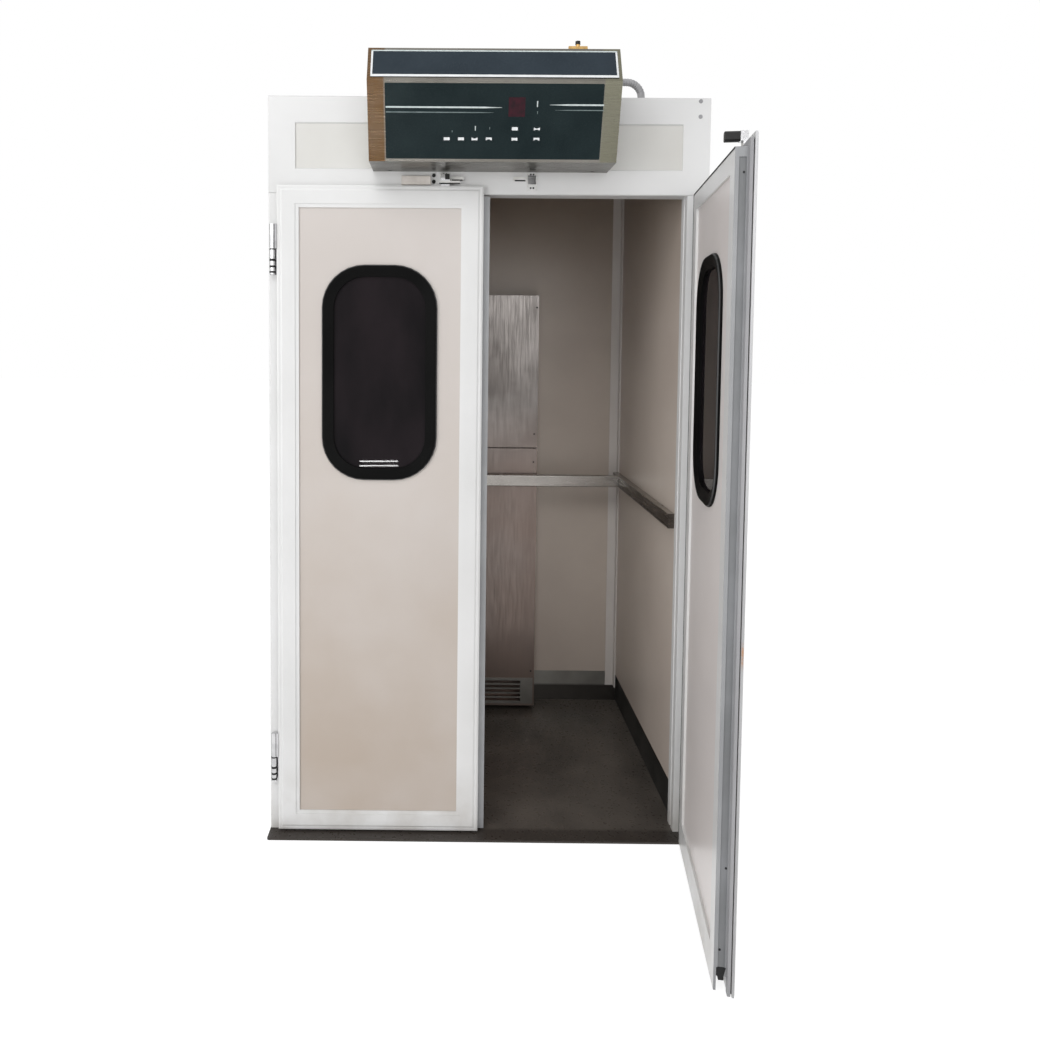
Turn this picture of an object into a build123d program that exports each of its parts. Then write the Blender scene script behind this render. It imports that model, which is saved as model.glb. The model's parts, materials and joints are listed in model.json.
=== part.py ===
# Walk-in proofing chamber: an insulated cabinet with two hinged doors, a climate unit on the
# rear wall, a bumper rail inside and a control box over the header.
# Millimetres, +Z up. The doors face -Y. The origin is the centre of the floor plate's underside.
import os
from math import atan2, cos, degrees, hypot, radians, sin

from build123d import *

os.makedirs("parts", exist_ok=True)

# Chamber
chamber_width = 1290.0
chamber_height = 2200.0
chamber_depth = 985.0
wall_t = 60.0
floor_t = 6.0
sill_reach = 55.0
sill_chamfer = 4.0
base_height = 127.0
channel_w = 40.0
channel_t = 2.5
channel_joint = 0.5

# Front frame
post_w = 63.0
post_d = 58.0
post_round = 4.0
reveal_groove_w = 12.0
reveal_groove_d = 3.0
opening_height = 1918.0
header_side_w = 79.0
header_top_w = 79.0
header_bottom_w = 74.0
header_bevel = 3.0
header_panel_t = 40.0
header_panel_set_back = 4.0

# Inside mouldings and bumper rail
moulding_leg = 36.0
moulding_t = 4.0
moulding_bottom = 70.0
moulding_groove_w = 2.5
moulding_groove_d = 1.5
rail_height = 45.0
rail_t = 25.0
rail_bottom = 922.0
rail_round = 4.0
rail_recess_h = 29.0
rail_recess_d = 2.0
rear_rail_set_back = 789.0

# Climate unit
unit_width = 600.0
unit_right = 244.0
unit_depth = 98.0
unit_bottom = 20.0
unit_height = 1655.0
unit_sheet = 2.0
seam = 4.0
lower_cover_height = 940.0
middle_cover_height = 104.0
outlet_slot_length = 420.0
outlet_slot_depth = 50.0
outlet_slot_set_back = 40.0
grille_height = 106.0
grille_raise = 9.0
grille_side_gap = 6.0
grille_t = 2.0
slot_side_margin = 50.0
slot_count = 5
slot_height = 11.0
slot_pitch = 18.0
grille_opening_margin = 14.0
fan_centre_height = 1440.0
motor_radius = 55.0
motor_sides = 32
motor_length = 32.0
motor_edge_bevel = 4.0
motor_shaft_radius = 6.0
shaft_in_hub = 20.0
hub_bore_depth = 24.0
impeller_radius = 120.0
impeller_sides = 40
impeller_disc_t = 2.0
impeller_depth = 40.0
impeller_hub_radius = 20.0
impeller_clearance = 4.0
shaft_clearance = 0.08
blade_count = 10
blade_t = 2.5
blade_inner_radius = 62.0
blade_sweep = 32.0
blade_bow = 0.36
blade_steps = 4
heater_tube_radius = 4.5
heater_centre_height = 1170.0
heater_loop_width = 360.0
heater_pitch = 40.0
heater_passes = 4
heater_stand_off = 48.0
heater_bend = 18.0
heater_sides = 6
boiler_width = 320.0
boiler_height = 210.0
boiler_depth = 74.0
boiler_bottom = 260.0
boiler_bevel = 18.0
boiler_neck_radius = 16.0
boiler_neck_height = 60.0

# Doors
hinge_inset = 14.0
hinge_stand_off = 12.0
door_clearance = 5.0
flange_overlap = 36.0
flange_front = 19.0
flange_t = 9.0
plug_depth = 28.0
plug_gap = 3.0
plug_top_gap = 6.0
flange_top_overlap = 22.0
meeting_offset = 14.0
lip_reach = 5.0
leaf_gap = 3.0
face_frame_w = 65.0
face_frame_bottom_w = 61.0
inner_frame_w = 50.0
inner_frame_bottom_w = 80.0
panel_groove = 4.0
face_lip_t = 6.0
rim_bevel_w = 5.0
rim_bevel_d = 2.0
rim_step_w = 11.0
bead_w = 11.0
bead_set_back = 2.0
sweep_slot_w = 24.0
sweep_slot_d = 55.0
sweep_slot_set_in = 2.0
sweep_end_set_in = 6.0
sweep_raise = 20.0
sweep_blade_w = 12.0
sweep_blade_height = 10.0
edge_groove_w = 16.0
edge_groove_d = 2.0
edge_groove_set_in = 3.0
edge_groove_top_margin = 22.0
gasket_w = 16.0
gasket_gap = 0.3
gasket_neck_t = 2.5
gasket_neck_set_in = 4.0
right_open_angle = 82.0

# Door windows
window_height_centre = 1393.0
window_width = 339.0
window_height = 634.0
window_round = 126.0
window_corner_steps = 8
lip_over = 19.5
glass_over = 15.0
gasket_proud = 9.0
gasket_bevel = 3.0
gasket_bead_w = 9.0
gasket_dish = 6.0
pane_t = 5.0
pane_edge = 7.0
pane_set_in = 4.0

# Hinges
hinge_height = 147.0
hinge_gap = 3.6
washer_t = 3.0
washer_over = 1.0
washer_sides = 18
upper_hinge_bottom = 1680.0
lower_hinge_bottom = 155.0
barrel_radius = 8.0
pin_radius = 5.0
pin_clearance = 0.08
pin_length = 60.0
post_plate_w = 18.0
post_plate_t = 3.0
knuckle_neck_w = 8.0
leaf_plate_t = 3.0
leaf_web_w = 8.0

# Catches on the door tops, strikes and levers on the header
strike_centre = 127.0
strike_height_centre = 1955.0
strike_width = 30.0
strike_height = 49.0
strike_t = 3.0
strike_hole_w = 24.0
strike_hole_h = 27.0
pocket_w = 26.0
pocket_h = 29.0
pocket_d = 38.0
nose_centre_height = 1961.5
nose_width = 20.0
nose_height = 23.0
nose_reach = 30.0
nose_bevel = 4.0
catch_width = 26.0
catch_head_front = 22.0
catch_head_back = 4.0
lever_pivot_centre = 105.0
lever_pivot_height = 1962.0
lever_length = 33.0
lever_width = 12.0
lever_t = 5.0
lever_bevel = 2.5
lever_pin_radius = 3.0
lever_pin_clearance = 0.08
lever_gap = 0.4
lever_pin_over = 1.0
switch_left = 254.0
switch_length = 86.0
switch_bottom = 1943.0
switch_height = 26.0
switch_t = 14.0
switch_bevel = 2.0

# Control box over the header
box_width = 683.0
box_shift = 4.0
box_bottom = 1983.0
box_foot = 133.0
box_fold_reach = 202.0
box_fold_height = 200.0
box_top_reach = 159.0
box_height = 298.0
box_sheet = 2.0
fascia_width = 664.0
fascia_height = 89.0
fascia_t = 2.0
membrane_width = 588.0
membrane_height = 196.0
membrane_bevel = 2.0
membrane_t = 1.0
key_width = 22.0
key_height = 14.0
key_bevel = 1.5
key_clearance = 0.3
key_proud = 0.6
key_flange = 2.5
key_flange_t = 1.5
key_stem = 6.0
key_travel = 0.8
key_stop_gap = 0.2
key_row_height = 61.0
pair_row_height = 88.0
key_row_places = (-127.0, -88.0, -51.0, -12.0)
key_pair_places = (58.0, 118.0)
display_width = 45.0
display_proud = 0.5
display_height = 50.0
display_place = 62.0
display_row_height = 144.0
board_width = 560.0
board_height = 150.0
board_t = 1.6
board_depth = 12.0
standoff_radius = 4.0
standoff_sides = 6
standoff_set_in = 8.0
switch_block = 8.0
switch_rise = 5.0

# Brass valve on the box, conduit from the box to the roof
valve_place = 238.0
valve_set_back = 49.0
valve_stub_radius = 8.0
valve_axis_height = 14.0
valve_body_across = 18.0
valve_body_length = 52.0
valve_body_sides = 6
valve_bonnet_radius = 6.0
valve_bonnet_height = 14.0
valve_round_sides = 16
knob_radius = 7.0
knob_height = 9.0
knob_flutes = 8
knob_flute_radius = 1.0
knob_flute_sides = 4
knob_gap = 0.3
spindle_radius = 2.5
spindle_clearance = 0.05
spindle_depth = 6.0
conduit_radius = 11.0
conduit_bore = 8.5
bore_steps = 18
conduit_rib_depth = 1.2
conduit_pitch = 8.0
conduit_plain_end = 22.0
conduit_sides = 12
rib_shape = ((0.0, 1.0), (0.3, 0.0), (0.7, 0.0))
conduit_place = 315.0
conduit_run = 52.0
conduit_bend = 44.0
conduit_straight = 18.0
gland_radius = 15.0
gland_sides = 8
gland_length = 12.0
gland_clearance = 0.05

# Places that follow from the sizes
base = floor_t
front = (sill_reach - chamber_depth) / 2
back = front + chamber_depth
half_w = chamber_width / 2
inner_half = half_w - wall_t
opening_half = half_w - post_w
wall_front = front + post_d
rear_face = back - wall_t
chamber_top = base + chamber_height
roof_under = chamber_top - wall_t
hinge_x = half_w - hinge_inset
hinge_y = front - hinge_stand_off


def write(piece, node):
    piece.part.label = node
    export_step(piece.part, f"parts/{node}.step")


def facing(y, x=0.0, z=0.0):
    """An upright plane that faces the front, with its own x to the right and y up."""
    return Plane(origin=(x, y, z), x_dir=(1, 0, 0), z_dir=(0, -1, 0))


def cross_section(x):
    """An upright plane across the chamber, with its own x to the rear and y up."""
    return Plane(origin=(x, 0, 0), x_dir=(0, 1, 0), z_dir=(1, 0, 0))


def slab(x0, x1, y0, y1, z0, z1):
    """A rectangle drawn in plan and raised from z0 to z1, inside the part being built."""
    with BuildSketch(Plane.XY.offset(z0)) as outline:
        with Locations(((x0 + x1) / 2, (y0 + y1) / 2)):
            Rectangle(x1 - x0, y1 - y0)
    extrude(outline.sketch, amount=z1 - z0)


# Floor plate: the chamber stands on it, and its front edge reaches out under the doors
with BuildPart() as floor_plate:
    slab(-half_w, half_w, front - sill_reach, back, 0, floor_t)
    front_corners = floor_plate.edges().filter_by(Axis.Z).group_by(Axis.Y)[0]
    chamfer(front_corners, sill_chamfer)
write(floor_plate, "floor_plate")

# Base channels: hollow rails under the three walls, set back under the panels' faces
channel_inner = half_w - wall_t / 2 - channel_w / 2
channel_centre = half_w - wall_t / 2
with BuildPart() as base_channels:
    with BuildSketch(Plane(origin=(0, wall_front, base), x_dir=(1, 0, 0), z_dir=(0, -1, 0))):
        with Locations((-channel_centre, base_height / 2), (channel_centre, base_height / 2)):
            Rectangle(channel_w, base_height)
            Rectangle(channel_w - 2 * channel_t, base_height - 2 * channel_t, mode=Mode.SUBTRACT)
    extrude(amount=-(back - wall_front))
    with BuildSketch(cross_section(channel_joint - channel_inner)):
        with Locations((back - wall_t / 2, base + base_height / 2)):
            Rectangle(channel_w, base_height)
            Rectangle(channel_w - 2 * channel_t, base_height - 2 * channel_t, mode=Mode.SUBTRACT)
    extrude(amount=2 * (channel_inner - channel_joint))
write(base_channels, "base_channels")

# Insulated wall and roof panels
wall_bottom = base + base_height
with BuildPart() as wall_panel_left:
    slab(-half_w, -inner_half, wall_front, back, wall_bottom, roof_under)
write(wall_panel_left, "wall_panel_left")

with BuildPart() as wall_panel_right:
    slab(inner_half, half_w, wall_front, back, wall_bottom, roof_under)
write(wall_panel_right, "wall_panel_right")

with BuildPart() as wall_panel_rear:
    slab(-inner_half, inner_half, rear_face, back, wall_bottom, roof_under)
write(wall_panel_rear, "wall_panel_rear")

with BuildPart() as roof_panel:
    slab(-half_w, half_w, wall_front, back, roof_under, chamber_top)
write(roof_panel, "roof_panel")


# Front posts: rounded at the outer front corner and grooved along the reveal
def front_post(side):
    outer = side * half_w
    inner = side * opening_half
    with BuildPart() as post:
        with BuildSketch(Plane.XY.offset(base)):
            with Locations(((outer + inner) / 2, front + post_d / 2)):
                Rectangle(post_w, post_d)
            with Locations((inner + side * reveal_groove_d / 2, front + post_d / 2)):
                Rectangle(reveal_groove_d, reveal_groove_w, mode=Mode.SUBTRACT)
        extrude(amount=opening_height)
        uprights = post.edges().filter_by(Axis.Z)
        outer_corner = uprights.sort_by_distance((outer, front, base + opening_height / 2))[0]
        fillet(outer_corner, post_round)
    return post


write(front_post(-1), "front_post_left")
write(front_post(1), "front_post_right")

# Header: a frame over the doorway with an inset panel and a pocket for each door's catch
header_height = chamber_height - opening_height
inset_width = chamber_width - 2 * header_side_w
inset_height = header_height - header_top_w - header_bottom_w
inset_centre = base + opening_height + header_bottom_w + inset_height / 2
with BuildPart() as header_frame:
    with BuildSketch(facing(front)):
        with Locations((0, base + opening_height + header_height / 2)):
            Rectangle(chamber_width, header_height)
        with Locations((0, inset_centre)):
            Rectangle(inset_width, inset_height, mode=Mode.SUBTRACT)
    extrude(amount=-post_d)
    front_rim = header_frame.edges().group_by(Axis.Y)[0]
    inset_rim = front_rim.sort_by_distance((0, front, inset_centre))[:4]
    chamfer(inset_rim, header_bevel)
    with BuildSketch(facing(front)):
        pocket_z = base + nose_centre_height
        with Locations((-strike_centre, pocket_z), (strike_centre, pocket_z)):
            Rectangle(pocket_w, pocket_h)
    extrude(amount=-pocket_d, mode=Mode.SUBTRACT)
write(header_frame, "header_frame")

with BuildPart() as header_panel:
    with BuildSketch(facing(front + header_panel_set_back)):
        with Locations((0, inset_centre)):
            Rectangle(inset_width, inset_height)
    extrude(amount=-header_panel_t)
write(header_panel, "header_panel")

# Angle mouldings in the two rear corners, with a groove where the legs meet
with BuildPart() as corner_mouldings:
    for side in (-1, 1):
        wall = side * inner_half
        with BuildSketch(Plane.XY.offset(base + moulding_bottom)):
            with Locations((wall - side * moulding_leg / 2, rear_face - moulding_t / 2)):
                Rectangle(moulding_leg, moulding_t)
            with Locations((wall - side * moulding_t / 2, rear_face - moulding_leg / 2)):
                Rectangle(moulding_t, moulding_leg)
            groove_x = wall - side * (moulding_t + moulding_groove_w / 2)
            with Locations((groove_x, rear_face - moulding_t + moulding_groove_d / 2)):
                Rectangle(moulding_groove_w, moulding_groove_d, mode=Mode.SUBTRACT)
        extrude(amount=roof_under - base - moulding_bottom)
write(corner_mouldings, "corner_mouldings")


# Bumper rails: one profile, with a shallow recess along the face that takes the knocks
def bumper_rail(section, length):
    """section: plane whose x points away from the wall and whose y is up."""
    with BuildPart() as rail:
        with BuildSketch(section):
            with Locations((rail_t / 2, rail_height / 2)):
                RectangleRounded(rail_t, rail_height, rail_round)
            with Locations((rail_t - rail_recess_d / 2, rail_height / 2)):
                Rectangle(rail_recess_d, rail_recess_h, mode=Mode.SUBTRACT)
        extrude(amount=length)
    return rail


side_rail_back = rear_face - moulding_leg
side_rail_length = side_rail_back - wall_front
rail_z = base + rail_bottom
left_section = Plane(origin=(-inner_half, side_rail_back, rail_z), x_dir=(1, 0, 0), z_dir=(0, -1, 0))
right_section = Plane(origin=(inner_half, wall_front, rail_z), x_dir=(-1, 0, 0), z_dir=(0, 1, 0))
rear_rail_back = front + rear_rail_set_back + rail_t
rear_rail_half = inner_half - rail_t
rear_section = Plane(origin=(-rear_rail_half, rear_rail_back, rail_z), x_dir=(0, -1, 0), z_dir=(-1, 0, 0))
write(bumper_rail(left_section, side_rail_length), "bumper_rail_left")
write(bumper_rail(right_section, side_rail_length), "bumper_rail_right")
write(bumper_rail(rear_section, -2 * rear_rail_half), "bumper_rail_rear")

# Climate unit: a tray on the rear wall, closed by three covers
unit_left = unit_right - unit_width
unit_centre = unit_right - unit_width / 2
unit_front = rear_face - unit_depth
unit_z0 = base + unit_bottom
unit_z1 = unit_z0 + unit_height
tray_front = unit_front + unit_sheet
with BuildPart() as unit_casing:
    slab(unit_left, unit_right, tray_front, rear_face, unit_z0, unit_z1)
    with BuildSketch(facing(tray_front)):
        with Locations((unit_centre, (unit_z0 + unit_z1) / 2)):
            Rectangle(unit_width - 2 * unit_sheet, unit_height - 2 * unit_sheet)
    extrude(amount=-(unit_depth - 2 * unit_sheet), mode=Mode.SUBTRACT)
    with BuildSketch(Plane.XY.offset(unit_z1 - unit_sheet)):
        with Locations((unit_centre, tray_front + outlet_slot_set_back)):
            Rectangle(outlet_slot_length, outlet_slot_depth)
    extrude(amount=unit_sheet, mode=Mode.SUBTRACT)
write(unit_casing, "unit_casing")


def unit_cover(z0, z1):
    with BuildPart() as cover:
        with BuildSketch(facing(tray_front)):
            with Locations((unit_centre, (z0 + z1) / 2)):
                Rectangle(unit_width, z1 - z0)
        extrude(amount=unit_sheet)
    return cover


lower_top = unit_z0 + lower_cover_height
middle_top = lower_top + seam + middle_cover_height
write(unit_cover(middle_top + seam, unit_z1), "unit_upper_cover")
write(unit_cover(lower_top + seam, middle_top), "unit_middle_cover")

grille_centre_z = unit_z0 + grille_raise + grille_height / 2
with BuildPart() as unit_lower_cover:
    with BuildSketch(facing(tray_front)):
        with Locations((unit_centre, (unit_z0 + lower_top) / 2)):
            Rectangle(unit_width, lower_cover_height)
        with Locations((unit_centre, grille_centre_z)):
            Rectangle(
                unit_width - 2 * (grille_side_gap + grille_opening_margin),
                grille_height - grille_opening_margin,
                mode=Mode.SUBTRACT,
            )
    extrude(amount=unit_sheet)
write(unit_lower_cover, "unit_lower_cover")

# Intake grille: a plate over the opening, with five slots between four bars
with BuildPart() as intake_grille:
    with BuildSketch(facing(unit_front)):
        with Locations((unit_centre, grille_centre_z)):
            Rectangle(unit_width - 2 * grille_side_gap, grille_height)
            with GridLocations(0, slot_pitch, 1, slot_count):
                Rectangle(
                    unit_width - 2 * (grille_side_gap + slot_side_margin),
                    slot_height,
                    mode=Mode.SUBTRACT,
                )
    extrude(amount=grille_t)
write(intake_grille, "intake_grille")

# Circulation fan: a motor on the tray's back and a bladed wheel on its shaft
tray_back = rear_face - unit_sheet
fan_z = base + fan_centre_height
impeller_back = tray_back - motor_length - impeller_clearance
with BuildPart() as fan_motor:
    with BuildSketch(facing(tray_back, unit_centre, fan_z)):
        RegularPolygon(motor_radius, motor_sides)
    extrude(amount=motor_length)
    chamfer(fan_motor.edges().group_by(Axis.Y)[0], motor_edge_bevel)
    with BuildSketch(facing(tray_back - motor_length, unit_centre, fan_z)):
        Circle(motor_shaft_radius)
    extrude(amount=impeller_clearance + shaft_in_hub)
write(fan_motor, "fan_motor")

# One blade of the wheel: a bowed strip that leans back from its root to its tip, in flat steps
tip_radius = impeller_radius - blade_t
tip_angle = radians(blade_sweep)
middle_radius = (blade_inner_radius + tip_radius) / 2
middle_angle = tip_angle * blade_bow
with BuildSketch() as blade:
    with BuildLine():
        blade_arc = ThreePointArc(
            (blade_inner_radius, 0),
            (middle_radius * cos(middle_angle), middle_radius * sin(middle_angle)),
            (tip_radius * cos(tip_angle), tip_radius * sin(tip_angle)),
            mode=Mode.PRIVATE,
        )
        blade_line = Polyline(*(blade_arc @ (step / blade_steps) for step in range(blade_steps + 1)))
    trace(blade_line, blade_t)

with BuildPart() as fan_impeller:
    with BuildSketch(facing(impeller_back, unit_centre, fan_z)):
        RegularPolygon(impeller_radius, impeller_sides)
    extrude(amount=impeller_disc_t)
    with BuildSketch(facing(impeller_back, unit_centre, fan_z)):
        Circle(impeller_hub_radius)
    extrude(amount=impeller_depth)
    with BuildSketch(facing(impeller_back - impeller_disc_t, unit_centre, fan_z)):
        with PolarLocations(0, blade_count):
            add(blade.sketch)
    extrude(amount=impeller_depth - impeller_disc_t)
    with BuildSketch(facing(impeller_back, unit_centre, fan_z)):
        Circle(motor_shaft_radius + shaft_clearance)
    extrude(amount=hub_bore_depth, mode=Mode.SUBTRACT)
write(fan_impeller, "fan_impeller")

# Heating element: a six-sided bar folded back on itself, its two ends on the tray's back
heater_y = tray_back - heater_stand_off
heater_half = heater_loop_width / 2
heater_z = base + heater_centre_height
heater_low = heater_z - heater_pitch * (heater_passes - 1) / 2
heater_points = [(unit_centre - heater_half, tray_back, heater_low)]
for row in range(heater_passes):
    row_z = heater_low + row * heater_pitch
    ends = (-heater_half, heater_half) if row % 2 == 0 else (heater_half, -heater_half)
    heater_points += [(unit_centre + end, heater_y, row_z) for end in ends]
heater_points.append((heater_points[-1][0], tray_back, heater_points[-1][2]))
with BuildPart() as heating_element:
    with BuildLine() as heater_line:
        FilletPolyline(*heater_points, radius=heater_bend)
    with BuildSketch(Plane(origin=heater_line.line @ 0, z_dir=heater_line.line % 0)):
        RegularPolygon(heater_tube_radius, heater_sides)
    sweep()
write(heating_element, "heating_element")

# Steam boiler: a closed tank with a neck, on the tray's back
boiler_z = base + boiler_bottom
with BuildPart() as steam_boiler:
    with BuildSketch(facing(tray_back)):
        with Locations((unit_centre, boiler_z + boiler_height / 2)):
            Rectangle(boiler_width, boiler_height)
    extrude(amount=boiler_depth)
    chamfer(steam_boiler.edges().filter_by(Axis.Y), boiler_bevel)
    with BuildSketch(Plane.XY.offset(boiler_z + boiler_height)):
        with Locations((unit_centre, tray_back - boiler_depth / 2)):
            Circle(boiler_neck_radius)
    extrude(amount=boiler_neck_height)
write(steam_boiler, "steam_boiler")


# Doors: each is drawn in its own frame, s along the leaf from the hinge axis and d inwards
class Door:
    def __init__(self, side, open_angle):
        self.name = "left" if side < 0 else "right"
        turn = radians(open_angle) * side
        self.hinge = Vector(side * hinge_x, hinge_y, 0)
        self.along = Vector(-side, 0, 0).rotate(Axis.Z, degrees(turn))
        self.inward = Vector(0, 1, 0).rotate(Axis.Z, degrees(turn))
        self.flange_s0 = hinge_x - opening_half - flange_overlap
        self.plug_s0 = hinge_x - opening_half + plug_gap
        if side < 0:
            self.flange_s1 = hinge_x - meeting_offset
            self.plug_s1 = hinge_x + lip_reach
            self.lip_s0 = self.flange_s1
        else:
            self.flange_s1 = hinge_x + meeting_offset - leaf_gap
            self.plug_s1 = hinge_x - lip_reach - leaf_gap
            self.lip_s0 = None
        self.sweep_s1 = self.lip_s0 or self.plug_s1
        self.face_s0 = self.flange_s0 + face_frame_w
        self.face_s1 = self.flange_s1 - face_frame_w
        self.window_s = (self.flange_s0 + self.flange_s1) / 2

    def place(self, s, d, z):
        """World place of a point of the leaf; d is 0 on the chamber's front plane."""
        return self.hinge + self.along * s + self.inward * (d + hinge_stand_off) + Vector(0, 0, z)

    def elevation(self, d):
        """Plane across the leaf at depth d, its own x along the leaf and y up."""
        return Plane(origin=self.place(0, d, 0), x_dir=self.along, z_dir=self.along.cross(Vector(0, 0, 1)))

    def plan(self, z):
        """Level plane at height z, its own x along the leaf and y inwards from the front plane."""
        return Plane(origin=self.place(0, 0, z), x_dir=self.along, z_dir=self.along.cross(self.inward))

    def panel(self, d0, d1, s0, s1, z0, z1, mode=Mode.ADD):
        """A rectangle of the leaf from depth d0 to d1, inside the part being built."""
        with BuildSketch(self.elevation(d0)) as outline:
            with Locations(((s0 + s1) / 2, (z0 + z1) / 2)):
                Rectangle(s1 - s0, z1 - z0)
        extrude(outline.sketch, amount=d1 - d0, dir=self.inward, mode=mode)

    def bevelled(self, d0, d1, s0, s1, z0, z1):
        """A rectangle of the leaf whose four sides widen by the rim's bevel from depth d0 to d1."""
        outlines = []
        for d, grow in ((d0, -rim_bevel_w), (d1, 0)):
            with BuildSketch(self.elevation(d)) as outline:
                with Locations(((s0 + s1) / 2, (z0 + z1) / 2)):
                    Rectangle(s1 - s0 + 2 * grow, z1 - z0 + 2 * grow)
            outlines.append(outline.sketch)
        loft(outlines, ruled=True)

    def window_outline(self, d, grow):
        """The window's outline at depth d, grown or shrunk, its corners in short straight steps."""
        half_s = window_width / 2 - window_round
        half_z = window_height / 2 - window_round
        radius = window_round + grow
        points = []
        for quarter, (side_s, side_z) in enumerate(((1, 1), (-1, 1), (-1, -1), (1, -1))):
            for step in range(window_corner_steps + 1):
                angle = radians(90 * (quarter + step / window_corner_steps))
                points.append((side_s * half_s + radius * cos(angle), side_z * half_z + radius * sin(angle)))
        with BuildSketch(self.elevation(d)) as outline:
            with Locations((self.window_s, base + window_height_centre)):
                Polygon(*points, align=None)
        return outline.sketch

    def rounded(self, d0, d1, grow, mode=Mode.ADD):
        """The window's outline from depth d0 to d1."""
        extrude(self.window_outline(d0, grow), amount=d1 - d0, dir=self.inward, mode=mode)

    def sloped(self, d0, d1, grow0, grow1, mode=Mode.ADD):
        """The window's outline from depth d0 to d1, growing from grow0 to grow1."""
        loft([self.window_outline(d0, grow0), self.window_outline(d1, grow1)], ruled=True, mode=mode)


leaf_bottom = base + door_clearance
flange_top = base + opening_height + flange_top_overlap
plug_top = base + opening_height - plug_top_gap
face_bottom = leaf_bottom + face_frame_bottom_w
face_top = flange_top - face_frame_w
flange_d0 = -flange_front
flange_d1 = flange_d0 + flange_t
panel_d0 = flange_d0 + face_lip_t
panel_d1 = plug_depth - face_lip_t
slot_d0 = -sweep_slot_set_in
slot_d1 = slot_d0 + sweep_slot_w


def door_frame(door):
    """Flange over the chamber's front, plug inside the doorway, groove for the panel.

    The flange's rim falls in two bevelled steps, and a bead round the panel lies below its face.
    """
    inner_s0 = door.plug_s0 + inner_frame_w
    inner_s1 = min(door.plug_s1 - inner_frame_w, door.face_s1)
    with BuildPart() as frame:
        step_d0 = flange_d0 + rim_bevel_d
        step_d1 = step_d0 + rim_bevel_d
        step = rim_step_w
        door.panel(step_d1, flange_d1, door.flange_s0, door.flange_s1, leaf_bottom, flange_top)
        door.bevelled(step_d0, step_d1, door.flange_s0, door.flange_s1, leaf_bottom, flange_top)
        door.bevelled(
            flange_d0,
            step_d0,
            door.flange_s0 + step,
            door.flange_s1 - step,
            leaf_bottom + step,
            flange_top - step,
        )
        door.panel(
            flange_d0,
            flange_d0 + bead_set_back,
            door.face_s0 - bead_w,
            door.face_s1 + bead_w,
            face_bottom - bead_w,
            face_top + bead_w,
            Mode.SUBTRACT,
        )
        plug_s1 = door.lip_s0 if door.lip_s0 else door.plug_s1
        door.panel(flange_d1, plug_depth, door.plug_s0, plug_s1, leaf_bottom, plug_top)
        if door.lip_s0:
            door.panel(0, plug_depth, door.lip_s0, door.plug_s1, leaf_bottom, plug_top)
        door.panel(flange_d0, panel_d0, door.face_s0, door.face_s1, face_bottom, face_top, Mode.SUBTRACT)
        door.panel(
            panel_d0,
            panel_d1,
            door.face_s0 - panel_groove,
            door.face_s1 + panel_groove,
            face_bottom - panel_groove,
            face_top + panel_groove,
            Mode.SUBTRACT,
        )
        door.panel(
            panel_d1,
            plug_depth,
            inner_s0,
            inner_s1,
            leaf_bottom + inner_frame_bottom_w,
            plug_top - inner_frame_w,
            Mode.SUBTRACT,
        )
        slot_top = leaf_bottom + sweep_slot_d
        door.panel(slot_d0, slot_d1, door.plug_s0, door.sweep_s1, leaf_bottom, slot_top, Mode.SUBTRACT)
        groove_d = edge_groove_set_in
        door.panel(
            groove_d,
            groove_d + edge_groove_w,
            door.plug_s1 - edge_groove_d,
            door.plug_s1,
            slot_top,
            plug_top - edge_groove_top_margin,
            Mode.SUBTRACT,
        )
    return frame


def door_panel(door):
    with BuildPart() as panel:
        door.panel(
            panel_d0,
            panel_d1,
            door.face_s0 - panel_groove,
            door.face_s1 + panel_groove,
            face_bottom - panel_groove,
            face_top + panel_groove,
        )
        door.rounded(panel_d0, panel_d1, -lip_over, Mode.SUBTRACT)
    return panel


def window_gasket(door):
    """Rubber ring: a lip over each face of the panel and a web that holds two panes.

    Each lip has a bevelled outer edge and is dished from its bead down to the glass.
    """
    sight = -(lip_over + glass_over)
    lip_d0 = panel_d0 - gasket_proud
    lip_d1 = panel_d1 + gasket_proud
    with BuildPart() as ring:
        door.sloped(lip_d0, lip_d0 + gasket_bevel, -gasket_bevel, 0)
        door.rounded(lip_d0 + gasket_bevel, panel_d0, 0)
        door.rounded(panel_d0, panel_d1, -lip_over)
        door.rounded(panel_d1, lip_d1 - gasket_bevel, 0)
        door.sloped(lip_d1 - gasket_bevel, lip_d1, 0, -gasket_bevel)
        door.sloped(lip_d0, lip_d0 + gasket_dish, -gasket_bead_w, sight, Mode.SUBTRACT)
        door.sloped(lip_d1 - gasket_dish, lip_d1, sight, -gasket_bead_w, Mode.SUBTRACT)
        door.rounded(lip_d0, lip_d1, sight, Mode.SUBTRACT)
        for d in pane_depths():
            door.rounded(d, d + pane_t, sight + pane_edge, Mode.SUBTRACT)
    return ring


def pane_depths():
    return (panel_d0 + pane_set_in, panel_d1 - pane_set_in - pane_t)


def window_panes(door):
    with BuildPart() as panes:
        for d in pane_depths():
            door.rounded(d, d + pane_t, pane_edge - lip_over - glass_over)
    return panes


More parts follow.
